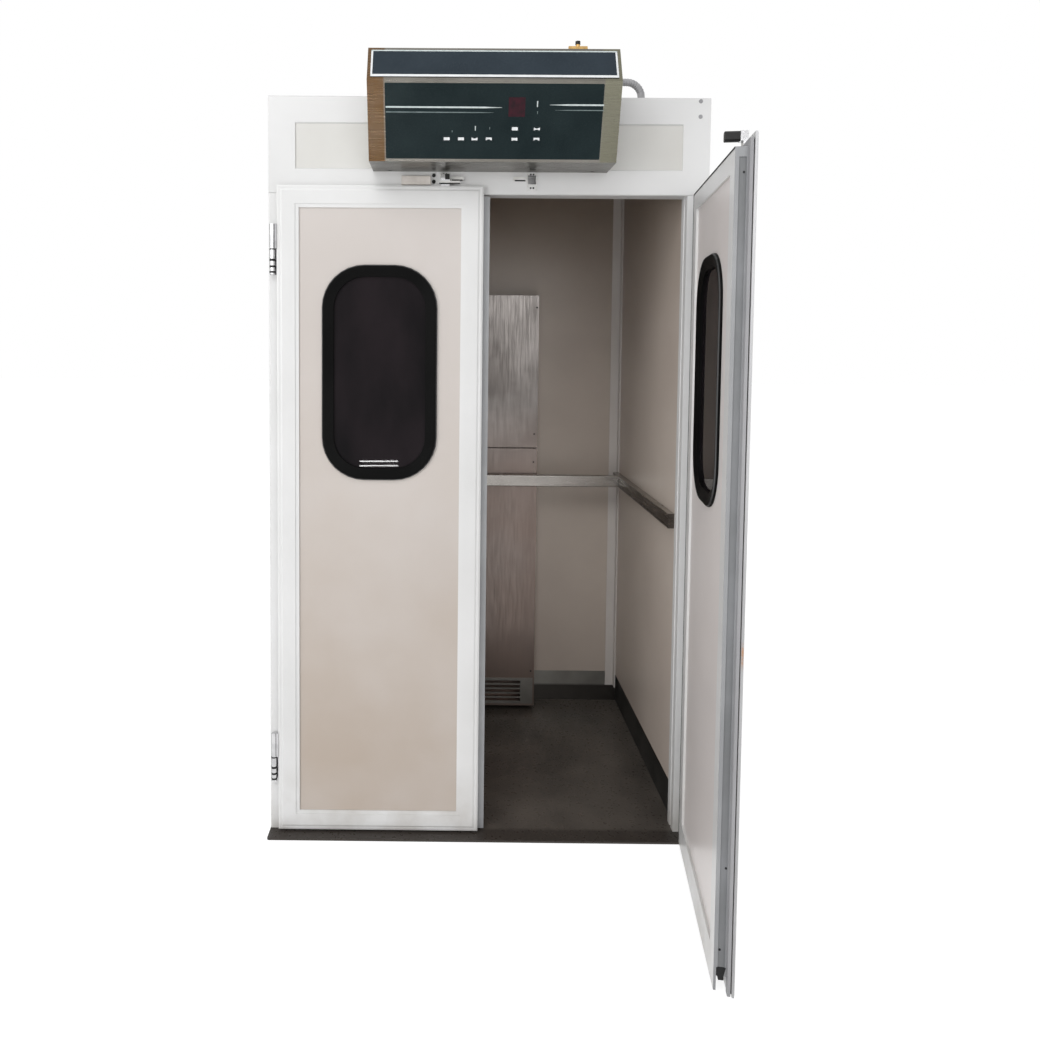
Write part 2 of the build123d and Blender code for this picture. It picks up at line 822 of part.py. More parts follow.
def door_seals(door):
    """Gasket behind the flange, up the sides and over the top, and the sweep in its channel.

    The gasket has a neck at the flange and a wider bulb. The sweep stops where the meeting lip
    begins, so that the other leaf's gasket has a flat face, and its blade hangs from a full body.
    """
    strip_top = plug_top + gasket_w
    free_end = door.flange_s1 if door.lip_s0 else door.plug_s1
    strips = [
        (door.plug_s0 - gasket_w, door.plug_s0, leaf_bottom, strip_top),
        (door.plug_s0, free_end, plug_top, strip_top),
    ]
    if not door.lip_s0:
        strips.append((door.plug_s1, door.plug_s1 + gasket_w, leaf_bottom, strip_top))
    neck_d = flange_d1 + gasket_neck_t
    set_in = gasket_neck_set_in
    sweep_ends = (door.plug_s0 + sweep_end_set_in, door.sweep_s1 - sweep_end_set_in)
    body_z = leaf_bottom + sweep_raise + sweep_blade_height
    blade_d0 = (slot_d0 + slot_d1 - sweep_blade_w) / 2
    with BuildPart() as seals:
        for s0, s1, z0, z1 in strips:
            door.panel(neck_d, -gasket_gap, s0, s1, z0, z1)
            door.panel(flange_d1, neck_d, s0 + set_in, s1 - set_in, z0 + set_in, z1 - set_in)
        door.panel(slot_d0, slot_d1, *sweep_ends, body_z, leaf_bottom + sweep_slot_d)
        door.panel(blade_d0, blade_d0 + sweep_blade_w, *sweep_ends, leaf_bottom + sweep_raise, body_z)
    return seals


knuckle_height = (hinge_height - hinge_gap) / 2
hinge_bottoms = (base + lower_hinge_bottom, base + upper_hinge_bottom)


def hinge_leaves(door):
    """Upper knuckle of each hinge, with the plate that holds the door's edge."""
    axis_d = -hinge_stand_off
    with BuildPart() as leaves:
        for bottom in hinge_bottoms:
            z0 = bottom + knuckle_height + hinge_gap
            with BuildSketch(door.plan(z0)):
                with Locations((0, axis_d)):
                    Circle(barrel_radius)
                with Locations((door.flange_s0 / 2, axis_d)):
                    Rectangle(door.flange_s0, leaf_web_w)
                with Locations((door.flange_s0 - leaf_plate_t / 2, flange_d0 + flange_t / 2)):
                    Rectangle(leaf_plate_t, flange_t)
                with Locations((0, axis_d)):
                    Circle(pin_radius + pin_clearance, mode=Mode.SUBTRACT)
            extrude(amount=knuckle_height, dir=(0, 0, 1))
            with BuildSketch(door.plan(z0 + pin_length)):
                with Locations((0, axis_d)):
                    Circle(barrel_radius)
            extrude(amount=knuckle_height - pin_length, dir=(0, 0, 1))
    return leaves


def door_catch(door):
    """Bracket on the flange's top edge and the nose that enters the header."""
    s = hinge_x - strike_centre
    head_z0 = base + nose_centre_height - nose_height / 2
    head_z1 = head_z0 + nose_height
    s0, s1 = s - catch_width / 2, s + catch_width / 2
    with BuildPart() as catch:
        door.panel(flange_d0, flange_d1, s0, s1, flange_top, head_z0)
        door.panel(-catch_head_front, -catch_head_back, s0, s1, head_z0, head_z1)
        with BuildSketch(door.elevation(-catch_head_back)) as nose:
            with Locations((s, base + nose_centre_height)):
                Rectangle(nose_width, nose_height)
            chamfer(nose.vertices(), nose_bevel)
        extrude(nose.sketch, amount=catch_head_back + nose_reach, dir=door.inward)
    return catch


doors = (Door(-1, 0.0), Door(1, right_open_angle))
for door in doors:
    write(door_frame(door), f"{door.name}_door_frame")
    write(door_panel(door), f"{door.name}_door_panel")
    write(window_gasket(door), f"{door.name}_window_gasket")
    write(window_panes(door), f"{door.name}_window_panes")
    write(door_seals(door), f"{door.name}_door_seals")
    write(hinge_leaves(door), f"{door.name}_hinge_leaves")
    write(door_catch(door), f"{door.name}_door_catch")

# Fixed hinge knuckles: lower half of each hinge, its plate on the post and the pin
with BuildPart() as hinge_knuckles:
    for side in (-1, 1):
        for bottom in hinge_bottoms:
            with BuildSketch(Plane.XY.offset(bottom)):
                with Locations((side * hinge_x, hinge_y)):
                    Circle(barrel_radius)
                with Locations((side * hinge_x, front - hinge_stand_off / 2)):
                    Rectangle(knuckle_neck_w, hinge_stand_off)
                with Locations((side * hinge_x, front - post_plate_t / 2)):
                    Rectangle(post_plate_w, post_plate_t)
            extrude(amount=knuckle_height)
            with BuildSketch(Plane.XY.offset(bottom + knuckle_height)):
                with Locations((side * hinge_x, hinge_y)):
                    Circle(pin_radius)
            extrude(amount=pin_length)
write(hinge_knuckles, "hinge_knuckles")

# Washers: one round each pin, on the lower knuckle and clear of the upper one
washer_bore = pin_radius + pin_clearance
with BuildPart() as hinge_washers:
    for bottom in hinge_bottoms:
        with BuildSketch(Plane.XY.offset(bottom + knuckle_height)):
            with Locations((-hinge_x, hinge_y), (hinge_x, hinge_y)):
                RegularPolygon(barrel_radius + washer_over, washer_sides)
                RegularPolygon(washer_bore, washer_sides, major_radius=False, mode=Mode.SUBTRACT)
        extrude(amount=washer_t)
write(hinge_washers, "hinge_washers")

# Strike plates on the header, each with an ear and a pin for its lever
ear_z = base + lever_pivot_height
with BuildPart() as strike_plates:
    for side in (-1, 1):
        with BuildSketch(facing(front)):
            with Locations((side * strike_centre, base + strike_height_centre)):
                Rectangle(strike_width, strike_height)
            ear_outer = strike_centre - strike_width / 2
            with Locations((side * (lever_pivot_centre + ear_outer) / 2, ear_z)):
                Rectangle(ear_outer - lever_pivot_centre, lever_width)
            with Locations((side * lever_pivot_centre, ear_z)):
                Circle(lever_width / 2)
            with Locations((side * strike_centre, base + nose_centre_height)):
                Rectangle(strike_hole_w, strike_hole_h, mode=Mode.SUBTRACT)
        extrude(amount=strike_t)
        with BuildSketch(facing(front - strike_t, side * lever_pivot_centre, ear_z)):
            Circle(lever_pin_radius)
        extrude(amount=lever_gap + lever_t + lever_pin_over)
write(strike_plates, "strike_plates")


# Release levers: a tapering arm on the strike's pin, pointing to the middle of the doorway
def release_lever(side):
    pivot = side * lever_pivot_centre
    with BuildPart() as lever:
        with BuildSketch(facing(front - strike_t - lever_gap, pivot, ear_z)):
            with Locations((0, 0)):
                Circle(lever_width / 2)
            with Locations((-side * lever_length / 2, 0)):
                Rectangle(lever_length, lever_width)
            with Locations((0, 0)):
                Circle(lever_pin_radius + lever_pin_clearance, mode=Mode.SUBTRACT)
        extrude(amount=lever_t)
        free_end = lever.edges().filter_by(Axis.Y).sort_by_distance((0, front, ear_z))[:2]
        chamfer(free_end, lever_bevel)
    return lever


write(release_lever(-1), "left_release_lever")
write(release_lever(1), "right_release_lever")

# Door switch: a slim moulded bar on the header over the left door
with BuildPart() as door_switch:
    with BuildSketch(facing(front)):
        with Locations((-switch_left + switch_length / 2, base + switch_bottom + switch_height / 2)):
            Rectangle(switch_length, switch_height)
    extrude(amount=switch_t)
    chamfer(door_switch.edges().group_by(Axis.Y)[0], switch_bevel)
write(door_switch, "door_switch")

# Control box: a sheet housing whose keyboard face leans out and whose brow leans back
box_z = base + box_bottom
face_rise = box_fold_height
face_lean = box_fold_reach - box_foot
face_length = hypot(face_rise, face_lean)
face_angle = degrees(atan2(face_lean, face_rise))
brow_rise = box_height - box_fold_height
brow_lean = box_fold_reach - box_top_reach
brow_length = hypot(brow_rise, brow_lean)
face_normal = Vector(0, -cos(radians(face_angle)), -sin(radians(face_angle)))
brow_normal = Vector(0, -brow_rise / brow_length, brow_lean / brow_length)
face_plane = Plane(
    origin=(box_shift, front - box_foot, box_z),
    x_dir=(1, 0, 0),
    z_dir=face_normal,
)
brow_plane = Plane(
    origin=(box_shift, front - (box_fold_reach + box_top_reach) / 2, box_z + box_fold_height + brow_rise / 2),
    x_dir=(1, 0, 0),
    z_dir=brow_normal,
)
key_places = [(x, key_row_height) for x in key_row_places]
for x in key_pair_places:
    key_places += [(x, key_row_height), (x, pair_row_height)]


def box_profile():
    """Side outline of the housing, with its back on the header's face."""
    with BuildLine() as outline:
        Polyline(
            (front, box_z),
            (front - box_foot, box_z),
            (front - box_fold_reach, box_z + box_fold_height),
            (front - box_top_reach, box_z + box_height),
            (front, box_z + box_height),
            close=True,
        )
    make_face(outline.edges())


def key_outline(grow):
    """A key's outline with bevelled corners, grown by its clearance."""
    with BuildSketch() as outline:
        Rectangle(key_width + 2 * grow, key_height + 2 * grow)
        chamfer(outline.vertices(), key_bevel)
    return outline.sketch


def face_cutouts(mode):
    """Holes for the keys and the display, inside the sketch being drawn on the face."""
    with Locations(*key_places):
        add(key_outline(key_clearance), mode=mode)
    with Locations((display_place, display_row_height)):
        Rectangle(display_width, display_height, mode=mode)


with BuildPart() as control_housing:
    with BuildSketch(cross_section(box_shift)):
        box_profile()
    extrude(amount=box_width / 2, both=True)
    with BuildSketch(cross_section(box_shift)):
        box_profile()
        offset(amount=-box_sheet, kind=Kind.INTERSECTION, mode=Mode.REPLACE)
    extrude(amount=box_width / 2 - box_sheet, both=True, mode=Mode.SUBTRACT)
    with BuildSketch(face_plane):
        face_cutouts(Mode.ADD)
    extrude(amount=-2 * box_sheet, mode=Mode.SUBTRACT)
write(control_housing, "control_housing")

with BuildPart() as control_membrane:
    with BuildSketch(face_plane) as control_membrane_outline:
        with Locations((0, face_length / 2)):
            Rectangle(membrane_width, membrane_height)
        chamfer(control_membrane_outline.vertices(), membrane_bevel)
        face_cutouts(Mode.SUBTRACT)
    extrude(amount=membrane_t)
write(control_membrane, "control_membrane")

with BuildPart() as upper_fascia:
    with BuildSketch(brow_plane):
        Rectangle(fascia_width, fascia_height)
    extrude(amount=fascia_t)
write(upper_fascia, "upper_fascia")

# Display block: it stands on the board and shows through the face
with BuildPart() as display_module:
    with BuildSketch(face_plane.offset(-board_depth)):
        with Locations((display_place, display_row_height)):
            Rectangle(display_width, display_height)
    extrude(amount=board_depth + display_proud)
write(display_module, "display_module")

# Circuit board on four standoffs, with a switch under each key
standoff_x = board_width / 2 - standoff_set_in
standoff_y = board_height / 2 - standoff_set_in
standoff_places = [(x, y) for x in (-standoff_x, standoff_x) for y in (-standoff_y, standoff_y)]
with BuildPart() as control_board:
    with BuildSketch(face_plane.offset(-board_depth)):
        with Locations((0, face_length / 2)):
            Rectangle(board_width, board_height)
    extrude(amount=-board_t)
    with BuildSketch(face_plane.offset(-board_depth)):
        with Locations((0, face_length / 2)):
            with Locations(*standoff_places):
                RegularPolygon(standoff_radius, standoff_sides)
    extrude(amount=board_depth - box_sheet)
    with BuildSketch(face_plane.offset(-board_depth)):
        with Locations(*key_places):
            Rectangle(switch_block, switch_block)
    extrude(amount=switch_rise)
write(control_board, "control_board")


def key(place):
    """A cap that stands through the face, a flange that keeps it in and a stem over its switch."""
    flange_front = -box_sheet - key_stop_gap
    stem_end = -board_depth + switch_rise + key_travel + key_stop_gap
    with BuildPart() as cap:
        with BuildSketch(face_plane.offset(flange_front)):
            with Locations(place):
                add(key_outline(0))
        extrude(amount=membrane_t + key_proud - flange_front)
        with BuildSketch(face_plane.offset(flange_front)):
            with Locations(place):
                Rectangle(key_width + 2 * key_flange, key_height + 2 * key_flange)
        extrude(amount=-key_flange_t)
        with BuildSketch(face_plane.offset(flange_front - key_flange_t)):
            with Locations(place):
                Rectangle(key_stem, key_stem)
        extrude(amount=stem_end - flange_front + key_flange_t)
    return cap


for number, place in enumerate(key_places, start=1):
    write(key(place), f"key_{number}")

# Brass valve on the box: a stub, a hexagonal body across it and a bonnet with a black knob
box_top = box_z + box_height
valve_y = front - box_top_reach + valve_set_back
bonnet_top = box_top + valve_axis_height + valve_bonnet_height
with BuildPart() as valve_body:
    with BuildSketch(Plane.XY.offset(box_top)):
        with Locations((valve_place, valve_y)):
            RegularPolygon(valve_stub_radius, valve_round_sides)
    extrude(amount=valve_axis_height)
    with BuildSketch(cross_section(valve_place)):
        with Locations((valve_y, box_top + valve_axis_height)):
            RegularPolygon(valve_body_across / 2, valve_body_sides, major_radius=False)
    extrude(amount=valve_body_length / 2, both=True)
    with BuildSketch(Plane.XY.offset(box_top + valve_axis_height)):
        with Locations((valve_place, valve_y)):
            RegularPolygon(valve_bonnet_radius, valve_round_sides)
    extrude(amount=valve_bonnet_height)
    with BuildSketch(Plane.XY.offset(bonnet_top)):
        with Locations((valve_place, valve_y)):
            Circle(spindle_radius + spindle_clearance)
    extrude(amount=-spindle_depth, mode=Mode.SUBTRACT)
write(valve_body, "valve_body")

with BuildPart() as valve_knob:
    with BuildSketch(Plane.XY.offset(bonnet_top + knob_gap)):
        with Locations((valve_place, valve_y)):
            Circle(knob_radius)
            with PolarLocations(knob_radius, knob_flutes):
                RegularPolygon(knob_flute_radius, knob_flute_sides, mode=Mode.SUBTRACT)
    extrude(amount=knob_height)
    with BuildSketch(Plane.XY.offset(bonnet_top + knob_gap)):
        with Locations((valve_place, valve_y)):
            Circle(spindle_radius)
    extrude(amount=-(spindle_depth - knob_gap))
write(valve_knob, "valve_knob")

# Corrugated conduit: out of the box's back, round to the side and down into the roof.
# Its sections have twelve sides, all turned the same way along the path.
conduit_z = chamber_top + conduit_straight + conduit_bend
conduit_y = front + conduit_straight + conduit_bend
conduit_x = conduit_place + 2 * conduit_bend + conduit_run
conduit_points = [
    (conduit_place, front, conduit_z),
    (conduit_place, conduit_y, conduit_z),
    (conduit_x, conduit_y, conduit_z),
    (conduit_x, conduit_y, chamber_top),
]
with BuildLine() as conduit_line:
    FilletPolyline(*conduit_points, radius=conduit_bend)
conduit_path = conduit_line.wire()
straight_limit = 1e-6


def conduit_section(distance):
    """Plane across the conduit, turned so that its own x never twists along the path."""
    share = distance / conduit_path.length
    along = conduit_path % share
    x_dir = Vector(0, 0, 1) if along.Y > straight_limit else along.cross(Vector(0, 1, 0))
    return Plane(origin=conduit_path @ share, x_dir=x_dir, z_dir=along)


def conduit_ring(distance, radius):
    """The conduit's outline at a distance along its path."""
    with BuildSketch(conduit_section(distance)) as ring:
        RegularPolygon(radius, conduit_sides)
    return ring.sketch


rib_span = conduit_path.length - 2 * conduit_plain_end
rib_count = int(rib_span // conduit_pitch)
rib_start = (conduit_path.length - rib_count * conduit_pitch) / 2
stations = [(0.0, conduit_radius), (conduit_straight, conduit_radius)]
for rib in range(rib_count):
    foot = rib_start + rib * conduit_pitch
    for share, radius in rib_shape:
        stations.append((foot + share * conduit_pitch, conduit_radius - radius * conduit_rib_depth))
stations.append((conduit_path.length - conduit_straight, conduit_radius))
stations.append((conduit_path.length, conduit_radius))
bore_span = conduit_path.length - 2 * conduit_straight
bore_places = [0.0]
for step in range(bore_steps + 1):
    bore_places.append(conduit_straight + step * bore_span / bore_steps)
bore_places.append(conduit_path.length)
with BuildPart() as conduit:
    loft([conduit_ring(distance, radius) for distance, radius in stations], ruled=True)
    loft([conduit_ring(distance, conduit_bore) for distance in bore_places], ruled=True, mode=Mode.SUBTRACT)
print("conduit ribs", rib_count, "length", round(conduit_path.length, 1))
write(conduit, "conduit")

with BuildPart() as conduit_glands:
    for section in (conduit_section(0), Plane(origin=conduit_points[-1], z_dir=(0, 0, 1))):
        with BuildSketch(section):
            RegularPolygon(gland_radius, gland_sides)
            Circle(conduit_radius + gland_clearance, mode=Mode.SUBTRACT)
        extrude(amount=gland_length)
write(conduit_glands, "conduit_glands")
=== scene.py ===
# Looks of the walk-in proofing chamber: finishes, printed marks, small screws, light and camera
import json
from math import cos, pi, sin

import bpy
from mathutils import Matrix, Vector


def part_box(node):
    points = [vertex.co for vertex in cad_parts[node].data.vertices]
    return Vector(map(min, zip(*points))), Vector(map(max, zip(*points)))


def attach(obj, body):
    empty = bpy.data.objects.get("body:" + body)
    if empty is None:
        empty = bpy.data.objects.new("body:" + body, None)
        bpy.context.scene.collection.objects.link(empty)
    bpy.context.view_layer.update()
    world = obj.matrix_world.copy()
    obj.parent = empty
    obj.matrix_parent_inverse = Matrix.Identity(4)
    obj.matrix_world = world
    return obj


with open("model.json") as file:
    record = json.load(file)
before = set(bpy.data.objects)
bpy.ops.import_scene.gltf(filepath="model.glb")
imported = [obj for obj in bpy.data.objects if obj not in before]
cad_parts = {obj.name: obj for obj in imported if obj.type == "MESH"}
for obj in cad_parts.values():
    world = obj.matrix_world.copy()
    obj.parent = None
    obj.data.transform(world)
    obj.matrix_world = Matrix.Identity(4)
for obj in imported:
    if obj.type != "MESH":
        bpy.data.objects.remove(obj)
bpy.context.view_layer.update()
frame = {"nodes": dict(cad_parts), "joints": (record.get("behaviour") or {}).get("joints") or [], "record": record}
nodes = frame["nodes"]
scene = bpy.context.scene


# Places read from the frame
def middle(node):
    low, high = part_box(node)
    return (low + high) / 2


def plane(origin, right, up):
    """Placement whose x runs right, y runs up and z comes out of the surface."""
    right = Vector(right).normalized()
    up = Vector(up).normalized()
    out = right.cross(up)
    rotation = Matrix((right, up, out)).transposed().to_4x4()
    return Matrix.Translation(Vector(origin)) @ rotation


# Materials: each has its colour, its wear and its grain from noise in object space
def begin(name):
    material = bpy.data.materials.new(name)
    material.use_nodes = True
    tree = material.node_tree
    return material, tree, tree.nodes["Principled BSDF"]


def coordinates(tree, stretch=(1, 1, 1)):
    source = tree.nodes.new("ShaderNodeTexCoord")
    mapping = tree.nodes.new("ShaderNodeMapping")
    mapping.inputs["Scale"].default_value = stretch
    tree.links.new(source.outputs["Object"], mapping.inputs["Vector"])
    return mapping.outputs["Vector"]


def noise(tree, scale, detail=4.0, stretch=(1, 1, 1)):
    node = tree.nodes.new("ShaderNodeTexNoise")
    node.inputs["Scale"].default_value = scale
    node.inputs["Detail"].default_value = detail
    tree.links.new(coordinates(tree, stretch), node.inputs["Vector"])
    return node.outputs["Fac"]


def between(tree, factor, low, high, from_low=0.35, from_high=0.65):
    node = tree.nodes.new("ShaderNodeMapRange")
    node.inputs["From Min"].default_value = from_low
    node.inputs["From Max"].default_value = from_high
    node.inputs["To Min"].default_value = low
    node.inputs["To Max"].default_value = high
    tree.links.new(factor, node.inputs["Value"])
    return node.outputs["Result"]


def blended(tree, factor, first, second):
    """A colour between two others. Each is a colour or the output of a node."""
    node = tree.nodes.new("ShaderNodeMix")
    node.data_type = "RGBA"
    tree.links.new(factor, node.inputs["Factor"])
    for value, socket in ((first, node.inputs["A"]), (second, node.inputs["B"])):
        if isinstance(value, tuple):
            socket.default_value = (*value, 1.0)
        else:
            tree.links.new(value, socket)
    return node.outputs["Result"]


def relief(tree, shader, height, distance):
    node = tree.nodes.new("ShaderNodeBump")
    node.inputs["Distance"].default_value = distance
    tree.links.new(height, node.inputs["Height"])
    tree.links.new(node.outputs["Normal"], shader.inputs["Normal"])


def surface(
    name, clean, worn, rough,
    metal=0.0, patch=3.0, grain=600.0, stretch=(1, 1, 1), depth=0.00002, gloss=0.5,
):
    """clean and worn: the two colours that patches of wear go between; rough: lowest and highest."""
    material, tree, shader = begin(name)
    shader.inputs["Specular IOR Level"].default_value = gloss
    wear = between(tree, noise(tree, patch), 0.0, 1.0)
    tree.links.new(blended(tree, wear, clean, worn), shader.inputs["Base Color"])
    fine = noise(tree, grain, 3.0, stretch)
    tree.links.new(between(tree, fine, *rough), shader.inputs["Roughness"])
    shader.inputs["Metallic"].default_value = metal
    relief(tree, shader, fine, depth)
    return material


def graded(material, axis, start, end, colour, least=1.0, most=1.0, patch=9.0):
    """Turns the colour towards another between two places along an axis, evenly or in patches."""
    tree = material.node_tree
    shader = tree.nodes["Principled BSDF"]
    clean = shader.inputs["Base Color"].links[0].from_socket
    split = tree.nodes.new("ShaderNodeSeparateXYZ")
    tree.links.new(coordinates(tree), split.inputs["Vector"])
    patchy = tree.nodes.new("ShaderNodeMath")
    patchy.operation = "MULTIPLY"
    tree.links.new(between(tree, split.outputs[axis], 0.0, 1.0, start, end), patchy.inputs[0])
    tree.links.new(between(tree, noise(tree, patch), least, most), patchy.inputs[1])
    tree.links.new(blended(tree, patchy.outputs["Value"], clean, colour), shader.inputs["Base Color"])
    return material


bare_share = 0.3
ragged_scale = 120.0


def scuffed(material, place, radius, colour):
    """Lets another colour show through round one worn place."""
    tree = material.node_tree
    shader = tree.nodes["Principled BSDF"]
    clean = shader.inputs["Base Color"].links[0].from_socket
    distance = tree.nodes.new("ShaderNodeVectorMath")
    distance.operation = "DISTANCE"
    tree.links.new(coordinates(tree), distance.inputs[0])
    distance.inputs[1].default_value = place
    ragged = tree.nodes.new("ShaderNodeMath")
    ragged.operation = "MULTIPLY"
    near = between(tree, distance.outputs["Value"], 1.0, 0.0, radius * bare_share, radius)
    tree.links.new(near, ragged.inputs[0])
    tree.links.new(between(tree, noise(tree, ragged_scale), 0.2, 1.0), ragged.inputs[1])
    tree.links.new(blended(tree, ragged.outputs["Value"], clean, colour), shader.inputs["Base Color"])


# White lacquer of the frame, with painted shade that darkens it in patches below 0.22 m towards the floor
white_lacquer = graded(
    surface("white_lacquer", (0.755, 0.755, 0.755), (0.69, 0.69, 0.685), (0.28, 0.42), patch=2.0),
    "Z", 0.22, 0.0, (0.42, 0.39, 0.35), 0.0, 0.6,
)
# Beige laminate of the leaves, with painted shade that darkens it in patches from 1.7 m down towards the floor
beige_laminate = graded(
    surface(
        "beige_laminate", (0.62, 0.58, 0.555), (0.565, 0.52, 0.49), (0.3, 0.42), patch=1.2, grain=900.0,
    ),
    "Z", 1.7, 0.0, (0.43, 0.35, 0.28), 0.5, 0.9, 3.0,
)
# Laminate of the inside walls and roof, with painted shade that darkens it in patches from 1.55 m up towards the
# roof
inner_laminate = graded(
    surface("inner_laminate", (0.66, 0.58, 0.51), (0.57, 0.49, 0.43), (0.3, 0.42), patch=1.6, grain=900.0),
    "Z", 1.55, 2.15, (0.28, 0.22, 0.17), 0.7, 1.0, 2.0,
)
outer_laminate = surface(
    "outer_laminate", (0.62, 0.595, 0.57), (0.59, 0.565, 0.54), (0.3, 0.42), patch=0.9, grain=900.0,
)
leaf_skin = surface(
    "leaf_skin", (0.78, 0.735, 0.72), (0.72, 0.67, 0.65), (0.3, 0.42), patch=1.5, grain=900.0,
)
pale_panel = surface("pale_panel", (0.68, 0.675, 0.65), (0.62, 0.61, 0.58), (0.3, 0.42), grain=900.0)
edge_profile = surface("edge_profile", (0.34, 0.345, 0.355), (0.28, 0.285, 0.295), (0.3, 0.45), patch=6.0)
# Painted shade: a darker grey for the groove in each leaf's free edge
groove_shade = surface("groove_shade", (0.23, 0.235, 0.245), (0.17, 0.175, 0.18), (0.4, 0.55), patch=6.0)
# Painted shade: the flange's rim is greyer than the lacquer, and darker again in patches from 1.6 m down
flange_rim_shade = graded(
    surface("flange_rim_shade", (0.60, 0.60, 0.61), (0.54, 0.54, 0.55), (0.3, 0.42), patch=4.0),
    "Z", 1.6, 0.4, (0.34, 0.34, 0.345), 0.7, 1.0, 4.0,
)
corner_lacquer = surface("corner_lacquer", (0.76, 0.72, 0.685), (0.68, 0.635, 0.60), (0.3, 0.42), patch=3.0)
stainless = graded(
    surface(
        "stainless", (0.30, 0.278, 0.265), (0.16, 0.145, 0.136), (0.30, 0.44),
        metal=1.0, patch=3.5, grain=180.0, stretch=(1, 1, 0.05),
    ),
    "Z", 1.25, 1.0, (0.205, 0.158, 0.137), 0.6, 1.0, 2.5,
)


def box_steel(name):
    return surface(
        name, (0.215, 0.205, 0.185), (0.150, 0.142, 0.125), (0.24, 0.36),
        metal=1.0, patch=4.0, grain=320.0, stretch=(0.03, 1, 1),
    )


brushed_box = box_steel("brushed_box")
# Painted reflections: the box's front turns brown near its left end and greenish grey near its right end
box_painted_reflections = graded(box_steel("box_painted_reflections"), "X", -0.290, -0.295, (0.125, 0.073, 0.036), 0.8, 1.0)
box_painted_reflections = graded(box_painted_reflections, "X", 0.297, 0.302, (0.180, 0.175, 0.130), 0.8, 1.0)
grille_steel = surface(
    "grille_steel", (0.28, 0.265, 0.245), (0.21, 0.20, 0.183), (0.3, 0.45), metal=1.0, patch=8.0,
)
satin_plate = surface("satin_plate", (0.74, 0.74, 0.73), (0.62, 0.62, 0.60), (0.3, 0.45), patch=60.0)
chrome = surface("chrome", (0.66, 0.66, 0.67), (0.48, 0.48, 0.49), (0.06, 0.16), metal=1.0, patch=30.0)
# Painted reflection: dark chrome for the hinges' outer sides
hinge_dark_reflection = surface("hinge_dark_reflection", (0.10, 0.10, 0.10), (0.05, 0.05, 0.05), (0.3, 0.5), metal=1.0, patch=30.0)
# Painted shade: a dark copy of the base channels' steel, for the channels in shade
shaded_channel_steel = surface("shaded_channel_steel", (0.13, 0.13, 0.125), (0.08, 0.08, 0.077), (0.4, 0.6), metal=1.0, patch=8.0)
anodised = surface(
    "anodised", (0.38, 0.36, 0.335), (0.30, 0.282, 0.262), (0.16, 0.28),
    metal=1.0, patch=4.0, grain=300.0, stretch=(0.05, 0.05, 1),
)
# Painted shade: a dark copy of the rails' metal for the side rails
shaded_rail = surface(
    "shaded_rail", (0.125, 0.105, 0.090), (0.070, 0.058, 0.050), (0.24, 0.4),
    metal=1.0, patch=7.0, grain=300.0, stretch=(0.05, 0.05, 1),
)
# Dark worn floor; its strip along the front edge is darker, painted shade beneath the doors
worn_floor_shaded_sill = graded(
    surface(
        "worn_floor_shaded_sill", (0.115, 0.100, 0.086), (0.070, 0.061, 0.053), (0.25, 0.5),
        patch=5.0, grain=90.0, depth=0.0001, gloss=0.3,
    ),
    "Y", -0.452, -0.468, (0.042, 0.035, 0.030),
)
window_rubber = surface(
    "window_rubber", (0.003, 0.003, 0.003), (0.006, 0.006, 0.006), (0.4, 0.6), grain=500.0, gloss=0.05,
)
# Painted highlight: a lighter rubber for the bevels of the window's rubber, where light would glint along them
rubber_rim_highlight = surface(
    "rubber_rim_highlight", (0.055, 0.055, 0.057), (0.035, 0.035, 0.036), (0.25, 0.4), grain=500.0, gloss=0.4,
)
seal_rubber = surface(
    "seal_rubber", (0.012, 0.012, 0.013), (0.022, 0.022, 0.022), (0.5, 0.7), grain=400.0, gloss=0.3,
)
grey_gasket = surface(
    "grey_gasket", (0.36, 0.36, 0.37), (0.29, 0.29, 0.30), (0.45, 0.6), grain=400.0, gloss=0.3,
)
printed_foil = surface(
    "printed_foil", (0.012, 0.022, 0.024), (0.007, 0.015, 0.017), (0.2, 0.3), patch=8.0, gloss=0.1,
)
band_foil = surface(
    "band_foil", (0.026, 0.038, 0.050), (0.019, 0.029, 0.039), (0.2, 0.3), patch=8.0, gloss=0.15,
)
key_foil = surface(
    "key_foil", (0.015, 0.025, 0.027), (0.010, 0.018, 0.021), (0.25, 0.38), patch=40.0, gloss=0.1,
)
pale_print = surface("pale_print", (0.62, 0.68, 0.68), (0.50, 0.57, 0.57), (0.3, 0.4), patch=60.0)
dim_print = surface("dim_print", (0.17, 0.22, 0.22), (0.10, 0.14, 0.14), (0.3, 0.4), patch=60.0)
bright_print_and_fold_highlight = surface("bright_print_and_fold_highlight", (0.80, 0.82, 0.83), (0.72, 0.74, 0.75), (0.3, 0.4), patch=40.0)
dim_red = surface(
    "dim_red", (0.042, 0.008, 0.015), (0.022, 0.008, 0.012), (0.15, 0.25), patch=60.0, gloss=0.15,
)
board_green = surface("board_green", (0.03, 0.16, 0.07), (0.02, 0.10, 0.05), (0.4, 0.5), patch=30.0)
brass = surface("brass", (0.72, 0.47, 0.18), (0.50, 0.31, 0.12), (0.2, 0.35), metal=1.0, patch=60.0)
black_plastic_and_painted_shade = surface(
    "black_plastic_and_painted_shade", (0.008, 0.008, 0.008), (0.015, 0.015, 0.015), (0.35, 0.5), patch=60.0, gloss=0.3,
)
grey_conduit = surface("grey_conduit", (0.40, 0.40, 0.41), (0.30, 0.30, 0.31), (0.45, 0.6), patch=40.0)
white_moulding = surface("white_moulding", (0.78, 0.78, 0.76), (0.68, 0.67, 0.64), (0.3, 0.4), patch=50.0)
